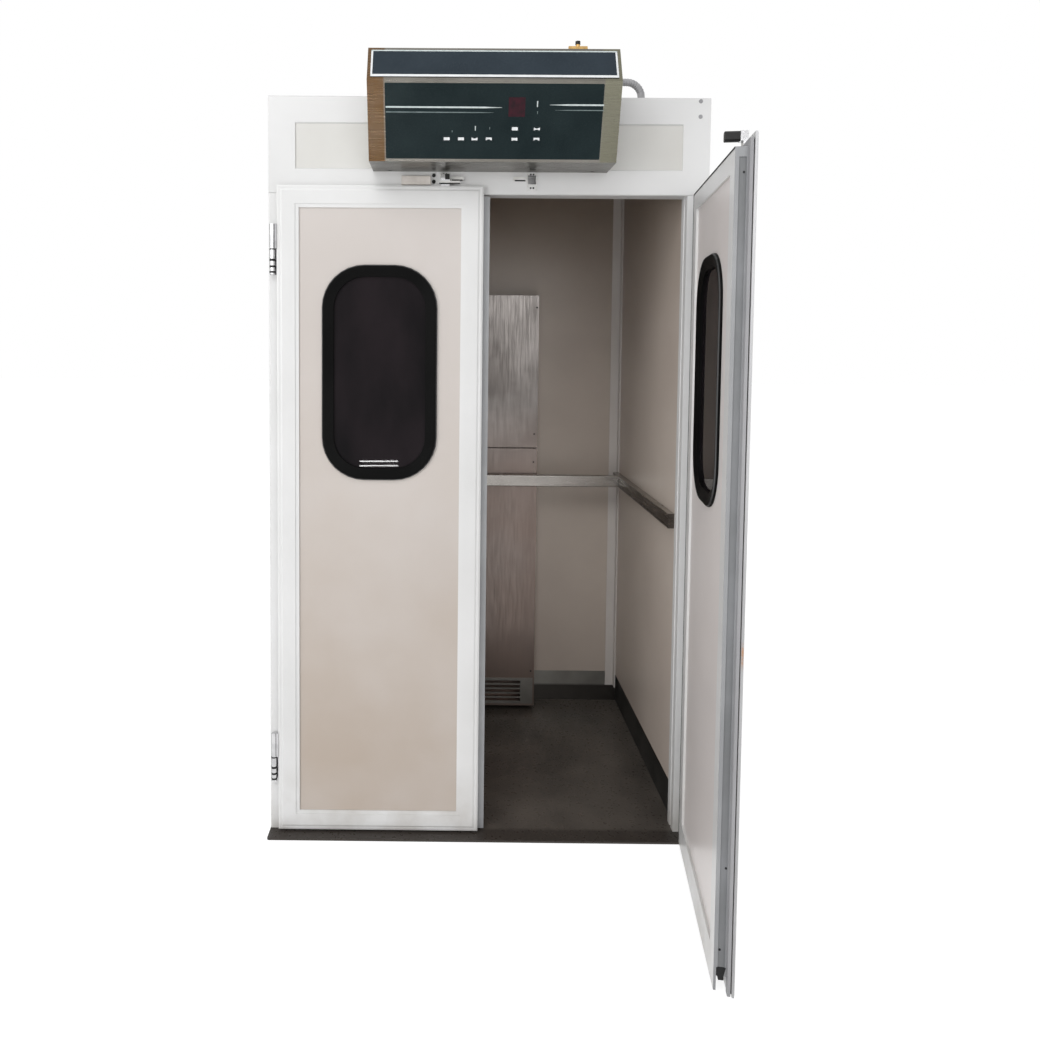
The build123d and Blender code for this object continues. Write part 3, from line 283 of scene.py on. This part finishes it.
cream_moulding = surface("cream_moulding", (0.66, 0.62, 0.58), (0.56, 0.52, 0.48), (0.3, 0.42), patch=40.0)
black_paint = surface("black_paint", (0.03, 0.03, 0.03), (0.05, 0.05, 0.05), (0.4, 0.55), patch=20.0)
wheel_steel = surface(
    "wheel_steel", (0.52, 0.52, 0.52), (0.40, 0.40, 0.40), (0.3, 0.45), metal=1.0, patch=20.0,
)

# Dark window glass: almost black, smooth, with faint smears
dark_glass, glass_tree, glass_shader = begin("dark_glass")
glass_shader.inputs["Specular IOR Level"].default_value = 0.07
smears = noise(glass_tree, 7.0, 5.0, (1, 1, 0.4))
smear_share = between(glass_tree, smears, 0.0, 1.0)
glass_colour = blended(glass_tree, smear_share, (0.007, 0.006, 0.007), (0.016, 0.012, 0.014))
glass_tree.links.new(glass_colour, glass_shader.inputs["Base Color"])
glass_tree.links.new(between(glass_tree, smears, 0.004, 0.014), glass_shader.inputs["Roughness"])

finishes = {
    "white_frame": white_lacquer,
    "beige_panel": beige_laminate,
    "window_rubber": window_rubber,
    "seal_rubber": seal_rubber,
    "dark_glass": dark_glass,
    "stainless": stainless,
    "hinge_chrome": chrome,
    "floor_steel": worn_floor_shaded_sill,
    "base_steel": shaded_channel_steel,
    "rail_aluminium": anodised,
    "membrane_dark": printed_foil,
    "fascia_dark": band_foil,
    "display_red": dim_red,
    "board_green": board_green,
    "key_grey": key_foil,
    "valve_brass": brass,
    "knob_black": black_plastic_and_painted_shade,
    "conduit_grey": grey_conduit,
    "gland_grey": grey_conduit,
    "lever_white": white_moulding,
    "switch_cream": cream_moulding,
    "motor_black": black_paint,
    "fan_steel": wheel_steel,
}
for entry in frame["record"]["subparts"]:
    nodes[entry["node"]].data.materials.clear()
    nodes[entry["node"]].data.materials.append(finishes[entry["material_slot"]])
nodes["control_housing"].data.materials[0] = box_painted_reflections
nodes["intake_grille"].data.materials[0] = grille_steel
nodes["strike_plates"].data.materials[0] = satin_plate
nodes["header_panel"].data.materials[0] = pale_panel
nodes["corner_mouldings"].data.materials[0] = corner_lacquer
for inner in ("wall_panel_left", "wall_panel_right", "wall_panel_rear", "roof_panel"):
    nodes[inner].data.materials[0] = inner_laminate

# Least shares of a face's normal along a direction, for faces that look that way or that don't look
# away from it, and the most of the box's front along y
square_on = 0.9
not_away = -0.5
box_front = -0.3


def refinish(node, material, wanted):
    """Gives another finish to the faces of a CAD node whose middle and normal pass the test."""
    mesh = nodes[node].data
    mesh.materials.append(material)
    for face in mesh.polygons:
        if wanted(face.center, face.normal):
            face.material_index = len(mesh.materials) - 1


def leaf_frame(side):
    """A leaf's hinge axis, and its directions along and inwards, as it stands at rest."""
    hinge = next(j for j in frame["joints"] if j["name"] == f"{side}_door_swing")
    if side == "left":
        return Vector(hinge["pos_m"]), Vector((1, 0, 0)), Vector((0, 1, 0))
    turn = -hinge["range_deg"][0] * pi / 180
    return Vector(hinge["pos_m"]), Vector((-cos(turn), -sin(turn), 0)), Vector((-sin(turn), cos(turn), 0))


# Outside, the walls and the roof are plain laminate, without the painted shade of the inside. The box is plain
# steel but for its front, which carries painted reflections.
for node, out in (
    ("wall_panel_left", (-1, 0, 0)),
    ("wall_panel_right", (1, 0, 0)),
    ("wall_panel_rear", (0, 1, 0)),
):
    refinish(node, outer_laminate, lambda at, facing: facing.dot(Vector(out)) > not_away)
refinish("roof_panel", outer_laminate, lambda at, facing: facing.z > not_away)
refinish(
    "control_housing", brushed_box,
    lambda at, facing: abs(facing.x) > square_on or facing.y > box_front,
)

# The rear base rail keeps its bright steel along the top, and painted shadow darkens it towards the floor
rail_steel_shaded_foot = graded(
    surface("rail_steel_shaded_foot", (0.44, 0.43, 0.40), (0.34, 0.33, 0.305), (0.3, 0.45), metal=1.0, patch=8.0),
    "Z", 0.076, 0.066, (0.105, 0.098, 0.090),
)
rear_wall_low, rear_wall_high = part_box("wall_panel_rear")
refinish(
    "base_channels", rail_steel_shaded_foot,
    lambda at, facing: abs(at.x) < rear_wall_high.x and at.y > rear_wall_low.y,
)

# The side rails are painted in shade: their faces take a dark copy of the rail metal, and only the faces that look
# up keep the bright metal, as a line along the top
rail_top = 0.7
for side in ("left", "right"):
    nodes[f"bumper_rail_{side}"].data.materials[0] = shaded_rail
    refinish(f"bumper_rail_{side}", anodised, lambda at, facing: facing.z > rail_top)

# On each leaf: the nose of the catch is black rubber, the free edge and the meeting lip are a grey
# profile whose groove is darkened with painted shade, the flange's rim is greyer with painted shade,
# the gasket's bulb is light grey and its neck is left dark as painted shade, the window's rubber has
# a painted highlight on its rims, and the inner skin is pale.
# Depths run inwards from the hinge axis, which stands off the front of the frame.
hinge_stand_off = 0.012
groove_back = 0.0015
groove_depth = 0.0025
bulb_back = -0.0073
flange_back = 0.003
lip_front = 0.010
nose_front = 0.010
slack = 0.0005
highlight_least, highlight_most = 0.15, 0.96
flange_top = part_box("left_door_frame")[1].z
leaf_edge = {}
for side in ("left", "right"):
    pivot, along, inward = leaf_frame(side)
    profile_end = max(
        (v.co - pivot).dot(along)
        for v in nodes[f"{side}_door_frame"].data.vertices
        if (v.co - pivot).dot(inward) > hinge_stand_off + 2 * slack
    )
    leaf_edge[side] = pivot, along, inward, profile_end
    refinish(
        f"{side}_door_catch", black_plastic_and_painted_shade,
        lambda at, facing: (at - pivot).dot(inward) > nose_front and at.z > flange_top,
    )
    refinish(
        f"{side}_door_frame", edge_profile,
        lambda at, facing: facing.dot(along) > square_on
        and abs((at - pivot).dot(along) - profile_end) < slack,
    )
    # Painted shade in the groove of the free edge
    refinish(
        f"{side}_door_frame", groove_shade,
        lambda at, facing: slack < profile_end - (at - pivot).dot(along) < groove_depth
        and (at - pivot).dot(inward) > hinge_stand_off + groove_back,
    )
    refinish(
        f"{side}_door_frame", edge_profile,
        lambda at, facing: facing.dot(inward) < -square_on and (at - pivot).dot(inward) > lip_front,
    )
    refinish(f"{side}_door_panel", leaf_skin, lambda at, facing: facing.dot(inward) > square_on)
    refinish(
        f"{side}_door_frame", flange_rim_shade,
        lambda at, facing: facing.dot(along) > square_on and (at - pivot).dot(inward) < flange_back,
    )
    # The gasket's bulb takes the light grey, and its neck keeps the dark rubber as painted shade in the groove by
    # the flange
    refinish(
        f"{side}_door_seals", grey_gasket,
        lambda at, facing: bulb_back < (at - pivot).dot(inward) - hinge_stand_off < slack,
    )
    # Painted highlight on the bevels of the window's rubber
    refinish(
        f"{side}_window_gasket", rubber_rim_highlight,
        lambda at, facing: highlight_least < abs(facing.dot(inward)) < highlight_most,
    )

# Worn place on the rim of the right leaf's flange
pivot, along = leaf_edge["right"][:2]
flange_reach = 0.642
worn_height = 0.80
worn_radius = 0.035
worn_place = pivot + along * flange_reach
worn_place.z = worn_height
scuffed(flange_rim_shade, worn_place, worn_radius, (0.46, 0.25, 0.14))

# Painted reflection: the outer side of each hinge is dark chrome, for the dark surroundings it would mirror
hinge_side = 0.75
for node in ("hinge_knuckles", "left_hinge_leaves", "right_hinge_leaves"):
    refinish(node, hinge_dark_reflection, lambda at, facing: facing.x * (1 if at.x > 0 else -1) > hinge_side)


# Small pieces: each starts as a primitive and is cut and rounded in edit mode
near_top = 0.99
corner_steps = 4
edge_steps = 2
rim_steps = 3
plate_edge = 0.0002


def bevel_edges(piece, wanted, width, segments):
    """Rounds the edges whose two ends pass the test."""
    for edge in piece.data.edges:
        first, second = (piece.data.vertices[index].co for index in edge.vertices)
        edge.select = wanted(first, second)
    for part in (*piece.data.vertices, *piece.data.polygons):
        part.select = False
    bpy.context.view_layer.objects.active = piece
    bpy.ops.object.mode_set(mode="EDIT")
    bpy.ops.mesh.select_mode(type="EDGE")
    bpy.ops.mesh.bevel(offset=width, segments=segments, affect="EDGES")
    bpy.ops.object.mode_set(mode="OBJECT")


def settle(piece, name, at, body, material):
    """Puts a finished piece in place and lets it move with its body."""
    piece.name = name
    piece.data.transform(at)
    piece.data.materials.append(material)
    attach(piece, body)


def plate(name, at, x, y, width, height, thick, body, material, corner=0.0):
    """A thin plate with rounded corners and a softened front edge."""
    bpy.ops.object.select_all(action="DESELECT")
    bpy.ops.mesh.primitive_cube_add(size=1)
    piece = bpy.context.object
    piece.data.transform(Matrix.Translation((x, y, thick / 2)) @ Matrix.Diagonal((width, height, thick, 1)))
    if corner:
        bevel_edges(piece, lambda a, b: abs(a.z - b.z) > thick / 2, corner, corner_steps)
    bevel_edges(piece, lambda a, b: min(a.z, b.z) > thick * near_top, plate_edge, edge_steps)
    settle(piece, name, at, body, material)


def draw_in(piece, wanted, share, shift=0.0):
    """Narrows a piece that lies along its own x at the points that pass the test, and moves them along y."""
    for part in (*piece.data.polygons, *piece.data.edges):
        part.select = False
    for point in piece.data.vertices:
        point.select = wanted(point.co)
    bpy.context.view_layer.objects.active = piece
    bpy.ops.object.mode_set(mode="EDIT")
    bpy.ops.mesh.select_mode(type="VERT")
    bpy.ops.transform.resize(value=(1, share, 1), center_override=(0, 0, 0))
    bpy.ops.transform.translate(value=(0, shift, 0))
    bpy.ops.object.mode_set(mode="OBJECT")


def slit(piece, *places):
    """Cuts new edges across a piece at each place along its x."""
    bpy.context.view_layer.objects.active = piece
    bpy.ops.object.mode_set(mode="EDIT")
    for place in places:
        bpy.ops.mesh.select_all(action="SELECT")
        bpy.ops.mesh.bisect(plane_co=(place, 0, 0), plane_no=(1, 0, 0))
    bpy.ops.object.mode_set(mode="OBJECT")


def slip(width, height, thick):
    """A thin slip of print, centred on its own place, for shaping."""
    bpy.ops.object.select_all(action="DESELECT")
    bpy.ops.mesh.primitive_cube_add(size=1)
    piece = bpy.context.object
    piece.data.transform(Matrix.Translation((0, 0, thick / 2)) @ Matrix.Diagonal((width, height, thick, 1)))
    return piece


band_sides = 32
band_round = 0.15


def band(name, centre, radius, height, body, material):
    """A ring round an upright barrel, with rounded rims."""
    bpy.ops.object.select_all(action="DESELECT")
    bpy.ops.mesh.primitive_cylinder_add(vertices=band_sides, radius=radius, depth=height)
    piece = bpy.context.object
    bevel_edges(piece, lambda a, b: abs(a.z - b.z) < height / 2, height * band_round, edge_steps)
    settle(piece, name, Matrix.Translation(centre), body, material)


screw_sides = 20
socket_share = 0.45
rim_share = 0.3


def screw(name, at, x, y, radius, height, body, material):
    """A screw head with a rounded rim and a sunk socket."""
    bpy.ops.object.select_all(action="DESELECT")
    bpy.ops.mesh.primitive_cylinder_add(vertices=screw_sides, radius=radius, depth=height)
    piece = bpy.context.object
    piece.data.transform(Matrix.Translation((x, y, height / 2)))
    bevel_edges(piece, lambda a, b: min(a.z, b.z) > height * near_top, height * rim_share, rim_steps)
    for part in (*piece.data.vertices, *piece.data.edges):
        part.select = False
    for face in piece.data.polygons:
        face.select = face.normal.z > near_top and face.center.z > height * near_top
    bpy.ops.object.mode_set(mode="EDIT")
    bpy.ops.mesh.select_mode(type="FACE")
    bpy.ops.mesh.inset(thickness=radius * socket_share)
    bpy.ops.transform.translate(value=(0, 0, -height * socket_share))
    bpy.ops.object.mode_set(mode="OBJECT")
    settle(piece, name, at, body, material)


# The two leaning faces of the control box, from the foil and the band that lie on them
face_rise = Vector((0, -0.069, 0.200))
brow_rise = Vector((0, 0.043, 0.098))
foil_thick = 0.001
band_thick = 0.002
keyboard = plane(middle("control_membrane"), (1, 0, 0), face_rise)
keyboard = keyboard @ Matrix.Translation((0, 0, foil_thick / 2))
brow = plane(middle("upper_fascia"), (1, 0, 0), brow_rise)
brow = brow @ Matrix.Translation((0, 0, band_thick / 2))
print_thick = 0.00025


def on_foil(x, height):
    """A place on the foil: x from the chamber's middle, height from the face's lower edge."""
    return keyboard @ Matrix.Translation((x, height - face_rise.length / 2, 0))


# Stripes on the keyboard foil: a thick one over a thin one on each side, each ending in a point
stripes = (
    ("left_stripe_thick", -0.292, 0.022, 0.1425, 0.0042),
    ("left_stripe_thin", -0.292, 0.000, 0.1295, 0.0026),
    ("right_stripe_thick", 0.296, 0.150, 0.1500, 0.0042),
    ("right_stripe_thin", 0.296, 0.165, 0.1365, 0.0024),
)
taper = 0.05
tip_share = 0.15
for name, start, end, height, width in stripes:
    length = abs(end - start)
    tip = 1 if end > start else -1
    stripe = slip(length, width, print_thick)
    slit(stripe, tip * (length / 2 - taper))
    draw_in(stripe, lambda at: at.x * tip > length / 2 - taper / 2, tip_share)
    material = pale_print if "thick" in name else dim_print
    settle(stripe, name, on_foil((start + end) / 2, height), "chamber", material)

# Small upright signs over the keys and beside the display
signs = (
    ("sign_over_key_3", -0.049, 0.0885, 0.0030, 0.0120, pale_print),
    ("sign_over_key_4", -0.010, 0.0890, 0.0022, 0.0060, dim_print),
    ("sign_over_key_1", -0.112, 0.0800, 0.0022, 0.0050, dim_print),
    ("sign_by_display", 0.117, 0.1520, 0.0034, 0.0150, pale_print),
    ("sign_under_that", 0.118, 0.1300, 0.0024, 0.0070, dim_print),
)
sign_foot_share = 0.6
for name, x, height, width, length, material in signs:
    sign = slip(length, width, print_thick)
    draw_in(sign, lambda at: at.x < 0, sign_foot_share)
    upright = on_foil(x, height) @ Matrix.Rotation(pi / 2, 4, "Z")
    settle(sign, name, upright, "chamber", material)

# One printed sign on each key: two lobes joined at a waist that sits higher or lower
mark_length = 0.0165
mark_height = 0.0088
mark_corner = 0.002
waist_half = 0.0022
waist_reach = waist_half * 1.1
mark_end = mark_length * 0.4
cap_slack = 1e-5
waists = (0.0, 0.0, -0.0012, 0.0014, 0.0, 0.0, 0.0016, -0.0004)
waist_shares = (0.85, 0.8, 0.5, 0.5, 0.7, 0.95, 0.5, 0.3)
outer = keyboard.to_3x3() @ Vector((0, 0, 1))
for number, (waist, share) in enumerate(zip(waists, waist_shares), start=1):
    cap = nodes[f"key_{number}"].data.vertices
    reach = max(v.co.dot(outer) for v in cap)
    front = [v.co for v in cap if reach - v.co.dot(outer) < cap_slack]
    centre = sum(front, Vector()) / len(front)
    mark = slip(mark_length, mark_height, print_thick)
    slit(mark, -waist_half, waist_half)
    draw_in(mark, lambda at: abs(at.x) < waist_reach, share, waist)
    bevel_edges(
        mark, lambda a, b: abs(a.z - b.z) > print_thick / 2 and abs(a.x) > mark_end,
        mark_corner, rim_steps,
    )
    cap_face = plane(centre, (1, 0, 0), face_rise)
    settle(mark, f"key_{number}_mark", cap_face, f"key_{number}_cap", bright_print_and_fold_highlight)

# Pale border round the band on the brow: print along the top and the sides, and a painted highlight along the
# foot, where the brow folds over the keyboard face
band_width = 0.664
band_height = 0.089
border_top = 0.004
border_side = 0.005
border_foot = 0.0075
borders = (
    ("top", 0, (band_height - border_top) / 2, band_width, border_top, pale_print),
    # painted highlight along the fold under the band
    ("foot", 0, (border_foot - band_height) / 2, band_width, border_foot, bright_print_and_fold_highlight),
    ("left", (border_side - band_width) / 2, (border_foot - border_top) / 2, border_side,
     band_height - border_top - border_foot, bright_print_and_fold_highlight),
    ("right", (band_width - border_side) / 2, (border_foot - border_top) / 2, border_side,
     band_height - border_top - border_foot, bright_print_and_fold_highlight),
)
for name, x, y, width, height, material in borders:
    plate(f"band_border_{name}", brow, x, y, width, height, print_thick, "chamber", material)

# Screws on the strike plates
front_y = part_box("header_frame")[0].y
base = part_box("floor_plate")[1].z
header_face = plane((0, front_y, base), (1, 0, 0), (0, 0, 1))
strike_thick = 0.003
strike_face = header_face @ Matrix.Translation((0, 0, strike_thick))
strike_x = 0.127
strike_screws = ((-0.004, 1.976), (0.004, 1.976), (-0.004, 1.937), (0.004, 1.937))
small_radius = 0.0026
small_height = 0.0012
for side, name in ((-1, "left"), (1, "right")):
    for number, (dx, z) in enumerate(strike_screws, start=1):
        screw(
            f"{name}_strike_screw_{number}", strike_face, side * strike_x + dx, z, small_radius, small_height,
            "chamber", black_plastic_and_painted_shade,
        )

# Left catch: two screws beside the switch, and a dark block and an arm on the head of the catch, with a strip of
# painted shadow under the arm
catch_screw_x = -0.1600
catch_screw_radius = 0.0055
catch_screw_height = 0.003
catch_screws = (1.978, 1.960)
for number, z in enumerate(catch_screws, start=1):
    screw(
        f"left_catch_screw_{number}", header_face, catch_screw_x, z - base,
        catch_screw_radius, catch_screw_height, "chamber", black_plastic_and_painted_shade,
    )
catch_face = plane((0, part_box("left_door_catch")[0].y, 0), (1, 0, 0), (0, 0, 1))
catch_trim = (
    ("block", -0.1205, 1.9705, 0.013, 0.015, 0.003, black_plastic_and_painted_shade, "knob_black", 0.002),
    ("arm", -0.114, 1.9558, 0.060, 0.0055, 0.002, white_moulding, "lever_white", 0.0015),
    # painted shadow under the arm
    ("arm_foot", -0.114, 1.9517, 0.060, 0.0032, 0.0015, black_plastic_and_painted_shade, "knob_black", 0.0),
)
for name, x, z, width, height, thick, material, slot, corner in catch_trim:
    plate(f"left_catch_{name}", catch_face, x, z, width, height, thick, "left_door", material, corner)

# A black line runs along the top of each leaf's inner face, and a thinner one down its hinge side
line_wide = 0.004
line_thick = 0.001
for side in ("left", "right"):
    pivot, along, inward = leaf_edge[side][:3]
    points = [v.co - pivot for v in nodes[f"{side}_door_frame"].data.vertices]
    inner = max(point.dot(inward) for point in points)
    flat = [point for point in points if point.dot(inward) > inner - line_thick]
    near, far = min(p.dot(along) for p in flat), max(p.dot(along) for p in flat)
    foot, head = min(p.z for p in flat) + pivot.z, max(p.z for p in flat) + pivot.z
    across = Vector((0, 0, 1)).cross(inward)
    way = along.dot(across)
    leaf_face = plane((pivot + inward * inner).to_2d().to_3d(), across, (0, 0, 1))
    plate(
        f"{side}_leaf_line_top", leaf_face, way * (near + far) / 2, head - line_wide / 2,
        far - near, line_wide, line_thick, f"{side}_door", seal_rubber,
    )
    plate(
        f"{side}_leaf_line_hinge", leaf_face, way * (near + line_wide / 4), (foot + head) / 2,
        line_wide / 2, head - foot - line_wide * 2, line_thick, f"{side}_door", seal_rubber,
    )

# A dark strip runs under each release lever: painted shadow cast by the lever
shadow_rise = 0.0012
shadow_height = 0.0038
shadow_thick = 0.0012
shadow_share = 0.8
for side in ("left", "right"):
    lever_low, lever_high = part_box(f"{side}_release_lever")
    under_lever = plane((0, lever_low.y, 0), (1, 0, 0), (0, 0, 1))
    plate(
        f"{side}_lever_foot", under_lever, (lever_low.x + lever_high.x) / 2, lever_low.z + shadow_rise,
        (lever_high.x - lever_low.x) * shadow_share, shadow_height, shadow_thick,
        f"{side}_lever", black_plastic_and_painted_shade,
    )

# Dark bands round the lower knuckle of each hinge: painted shade, where the gaps between its knuckles fall dark
hinge_bottoms = (("lower", 0.161), ("upper", 1.686))
hinge_gap_shades = ((0.042, 0.0075), (0.023, 0.0065), (0.007, 0.006))
hinge_gap_shade_radius = 0.0087
for side in ("left", "right"):
    axis = leaf_edge[side][0]
    for place, bottom in hinge_bottoms:
        for number, (height, tall) in enumerate(hinge_gap_shades, start=1):
            band(
                f"{side}_{place}_hinge_band_{number}", (axis.x, axis.y, bottom + height),
                hinge_gap_shade_radius, tall, "chamber", black_plastic_and_painted_shade,
            )

# Small screws in the groove of each leaf's free edge
edge_screws = ((0.022, 1.905), (0.020, 1.863), (0.013, 0.107), (0.022, 0.300))
leaf_depth = 0.028
groove_in = 0.002
for side in ("left", "right"):
    pivot, along, inward, profile_end = leaf_edge[side]
    groove = pivot + along * (profile_end - groove_in) + inward * hinge_stand_off
    groove.z = 0
    edge_face = plane(groove, inward, (0, 0, 1)) if side == "left" else plane(groove, (0, 0, 1), inward)
    for number, (depth, z) in enumerate(edge_screws, start=1):
        x, y = (leaf_depth - depth, z) if side == "left" else (z, leaf_depth - depth)
        screw(
            f"{side}_edge_screw_{number}", edge_face, x, y, small_radius, small_height,
            f"{side}_door", black_plastic_and_painted_shade,
        )

# Screws on the climate unit, two caps on the header and two bolts under the control box
unit_face = plane((0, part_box("unit_lower_cover")[0].y, base), (1, 0, 0), (0, 0, 1))
unit_screws = ((0.236, 1.628), (0.231, 1.126), (0.230, 1.014), (0.230, 0.163))
unit_screw_radius = 0.0035
unit_screw_height = 0.0014
for number, (x, z) in enumerate(unit_screws, start=1):
    for side, mirrored in (("right", x), ("left", 2 * middle("unit_casing").x - x)):
        screw(
            f"unit_screw_{side}_{number}", unit_face, mirrored, z, unit_screw_radius, unit_screw_height,
            "chamber", black_plastic_and_painted_shade,
        )

cap_x = 0.6145
cap_radius = 0.006
cap_height = 0.0015
caps = (2.190, 2.146)
for number, z in enumerate(caps, start=1):
    screw(
        f"header_cap_{number}", header_face, cap_x, z, cap_radius, cap_height,
        "chamber", grey_conduit,
    )

box_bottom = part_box("control_housing")[0].z
under_box = plane((0, front_y, box_bottom), (1, 0, 0), (0, -1, 0))
under_box = under_box @ Matrix.Rotation(pi, 4, "Y")
bolt_in = 0.014
bolt_radius = 0.006
bolt_height = 0.004
bolts = (-0.288, 0.300)
for number, x in enumerate(bolts, start=1):
    screw(
        f"box_bolt_{number}", under_box, -x, bolt_in, bolt_radius, bolt_height,
        "chamber", black_plastic_and_painted_shade,
    )


# Camera: where the photograph was taken from
camera_place = Vector((-0.1144, -2.9006, 1.4830))
yaw, pitch, roll = 0.0050, -0.0546, -0.0077
focal_pixels = 822.29
picture = 1040.0
principal_x, principal_y = 443.65, 390.04
sensor = 36.0
turn = Matrix.Rotation(yaw, 3, "Z") @ Matrix.Rotation(pitch, 3, "X") @ Matrix.Rotation(roll, 3, "Y")
right, ahead, up = turn.col[0], turn.col[1], turn.col[2]
camera_data = bpy.data.cameras.new("camera")
camera_data.sensor_width = sensor
camera_data.lens = focal_pixels / picture * sensor
camera_data.shift_x = (picture / 2 - principal_x) / picture
camera_data.shift_y = -(picture / 2 - principal_y) / picture
camera = bpy.data.objects.new("camera", camera_data)
scene.collection.objects.link(camera)
camera.matrix_world = Matrix.Translation(camera_place) @ Matrix((right, up, -ahead)).transposed().to_4x4()
scene.camera = camera


# Floor and light
def seen_straight(tree):
    """One for what the camera, a shine or a clear pane shows, and nothing for the light that falls."""
    path = tree.nodes.new("ShaderNodeLightPath")
    shine = tree.nodes.new("ShaderNodeMath")
    shine.operation = "MAXIMUM"
    tree.links.new(path.outputs["Is Camera Ray"], shine.inputs[0])
    tree.links.new(path.outputs["Is Glossy Ray"], shine.inputs[1])
    clear = tree.nodes.new("ShaderNodeMath")
    clear.operation = "MAXIMUM"
    tree.links.new(shine.outputs["Value"], clear.inputs[0])
    tree.links.new(path.outputs["Is Transmission Ray"], clear.inputs[1])
    return clear.outputs["Value"]


floor_size = 60.0
floor_gap = 0.0005
floor_share = 0.6
floor_glow = 1.4
bpy.ops.object.select_all(action="DESELECT")
bpy.ops.mesh.primitive_plane_add(size=floor_size, location=(0, 0, -floor_gap))
floor = bpy.context.object
floor.name = "studio_floor"
floor_material, floor_tree, floor_shader = begin("studio_floor")
floor_shader.inputs["Base Color"].default_value = (0.86, 0.86, 0.86, 1.0)
floor_shader.inputs["Roughness"].default_value = 0.9
glow = floor_tree.nodes.new("ShaderNodeEmission")
glow.inputs["Strength"].default_value = floor_glow
seen_share = floor_tree.nodes.new("ShaderNodeMath")
seen_share.operation = "MULTIPLY"
seen_share.inputs[1].default_value = floor_share
floor_mix = floor_tree.nodes.new("ShaderNodeMixShader")
floor_tree.links.new(seen_straight(floor_tree), seen_share.inputs[0])
floor_tree.links.new(seen_share.outputs["Value"], floor_mix.inputs["Fac"])
floor_tree.links.new(floor_shader.outputs["BSDF"], floor_mix.inputs[1])
floor_tree.links.new(glow.outputs["Emission"], floor_mix.inputs[2])
floor_tree.links.new(floor_mix.outputs["Shader"], floor_tree.nodes["Material Output"].inputs["Surface"])
floor.data.materials.append(floor_material)

world = bpy.data.worlds.new("studio")
scene.world = world
world.use_nodes = True
world_tree = world.node_tree
lit = world_tree.nodes["Background"]
lit.inputs["Color"].default_value = (1.0, 1.0, 1.0, 1.0)
lit.inputs["Strength"].default_value = 0.5
seen = world_tree.nodes.new("ShaderNodeBackground")
seen.inputs["Strength"].default_value = 1.0
seen.inputs["Color"].default_value = (1.0, 1.0, 1.0, 1.0)
choice = world_tree.nodes.new("ShaderNodeMixShader")
world_tree.links.new(seen_straight(world_tree), choice.inputs["Fac"])
world_tree.links.new(lit.outputs["Background"], choice.inputs[1])
world_tree.links.new(seen.outputs["Background"], choice.inputs[2])
world_tree.links.new(choice.outputs["Shader"], world_tree.nodes["World Output"].inputs["Surface"])


def soft_lamp(name, place, target, size, power):
    """A flat lamp that faces its target."""
    data = bpy.data.lights.new(name, "AREA")
    data.shape = "RECTANGLE"
    data.size, data.size_y = size
    data.energy = power
    lamp = bpy.data.objects.new(name, data)
    scene.collection.objects.link(lamp)
    lamp.location = place
    lamp.rotation_euler = (Vector(target) - Vector(place)).to_track_quat("-Z", "Y").to_euler()


lamps = (
    ("front_light", (-1.2, -3.6, 4.6), (0, -0.3, 0.9), (2.8, 2.2), 68.0),
    ("side_light", (-3.2, -3.6, 1.7), (0.5, -0.6, 1.0), (2.6, 2.2), 56.0),
    ("doorway_light", (1.1, -4.9, 2.0), (0.3, 0.6, 1.1), (1.6, 1.6), 22.0),
    ("rear_light", (1.8, 4.0, 3.6), (0, 0, 1.1), (2.6, 2.0), 60.0),
)
for name, place, target, size, power in lamps:
    soft_lamp(name, place, target, size, power)

# Two thin lamps make the double line that the left window shows
window_spot = (-0.32, -0.47, 1.12)
strip_size = (0.30, 0.009)
strip_power = 1.3
strip_places = ((-0.65, -4.45, 0.535), (-0.65, -4.45, 0.570))
for number, place in enumerate(strip_places, start=1):
    soft_lamp(f"strip_light_{number}", place, window_spot, strip_size, strip_power)

scene.view_settings.view_transform = "Standard"
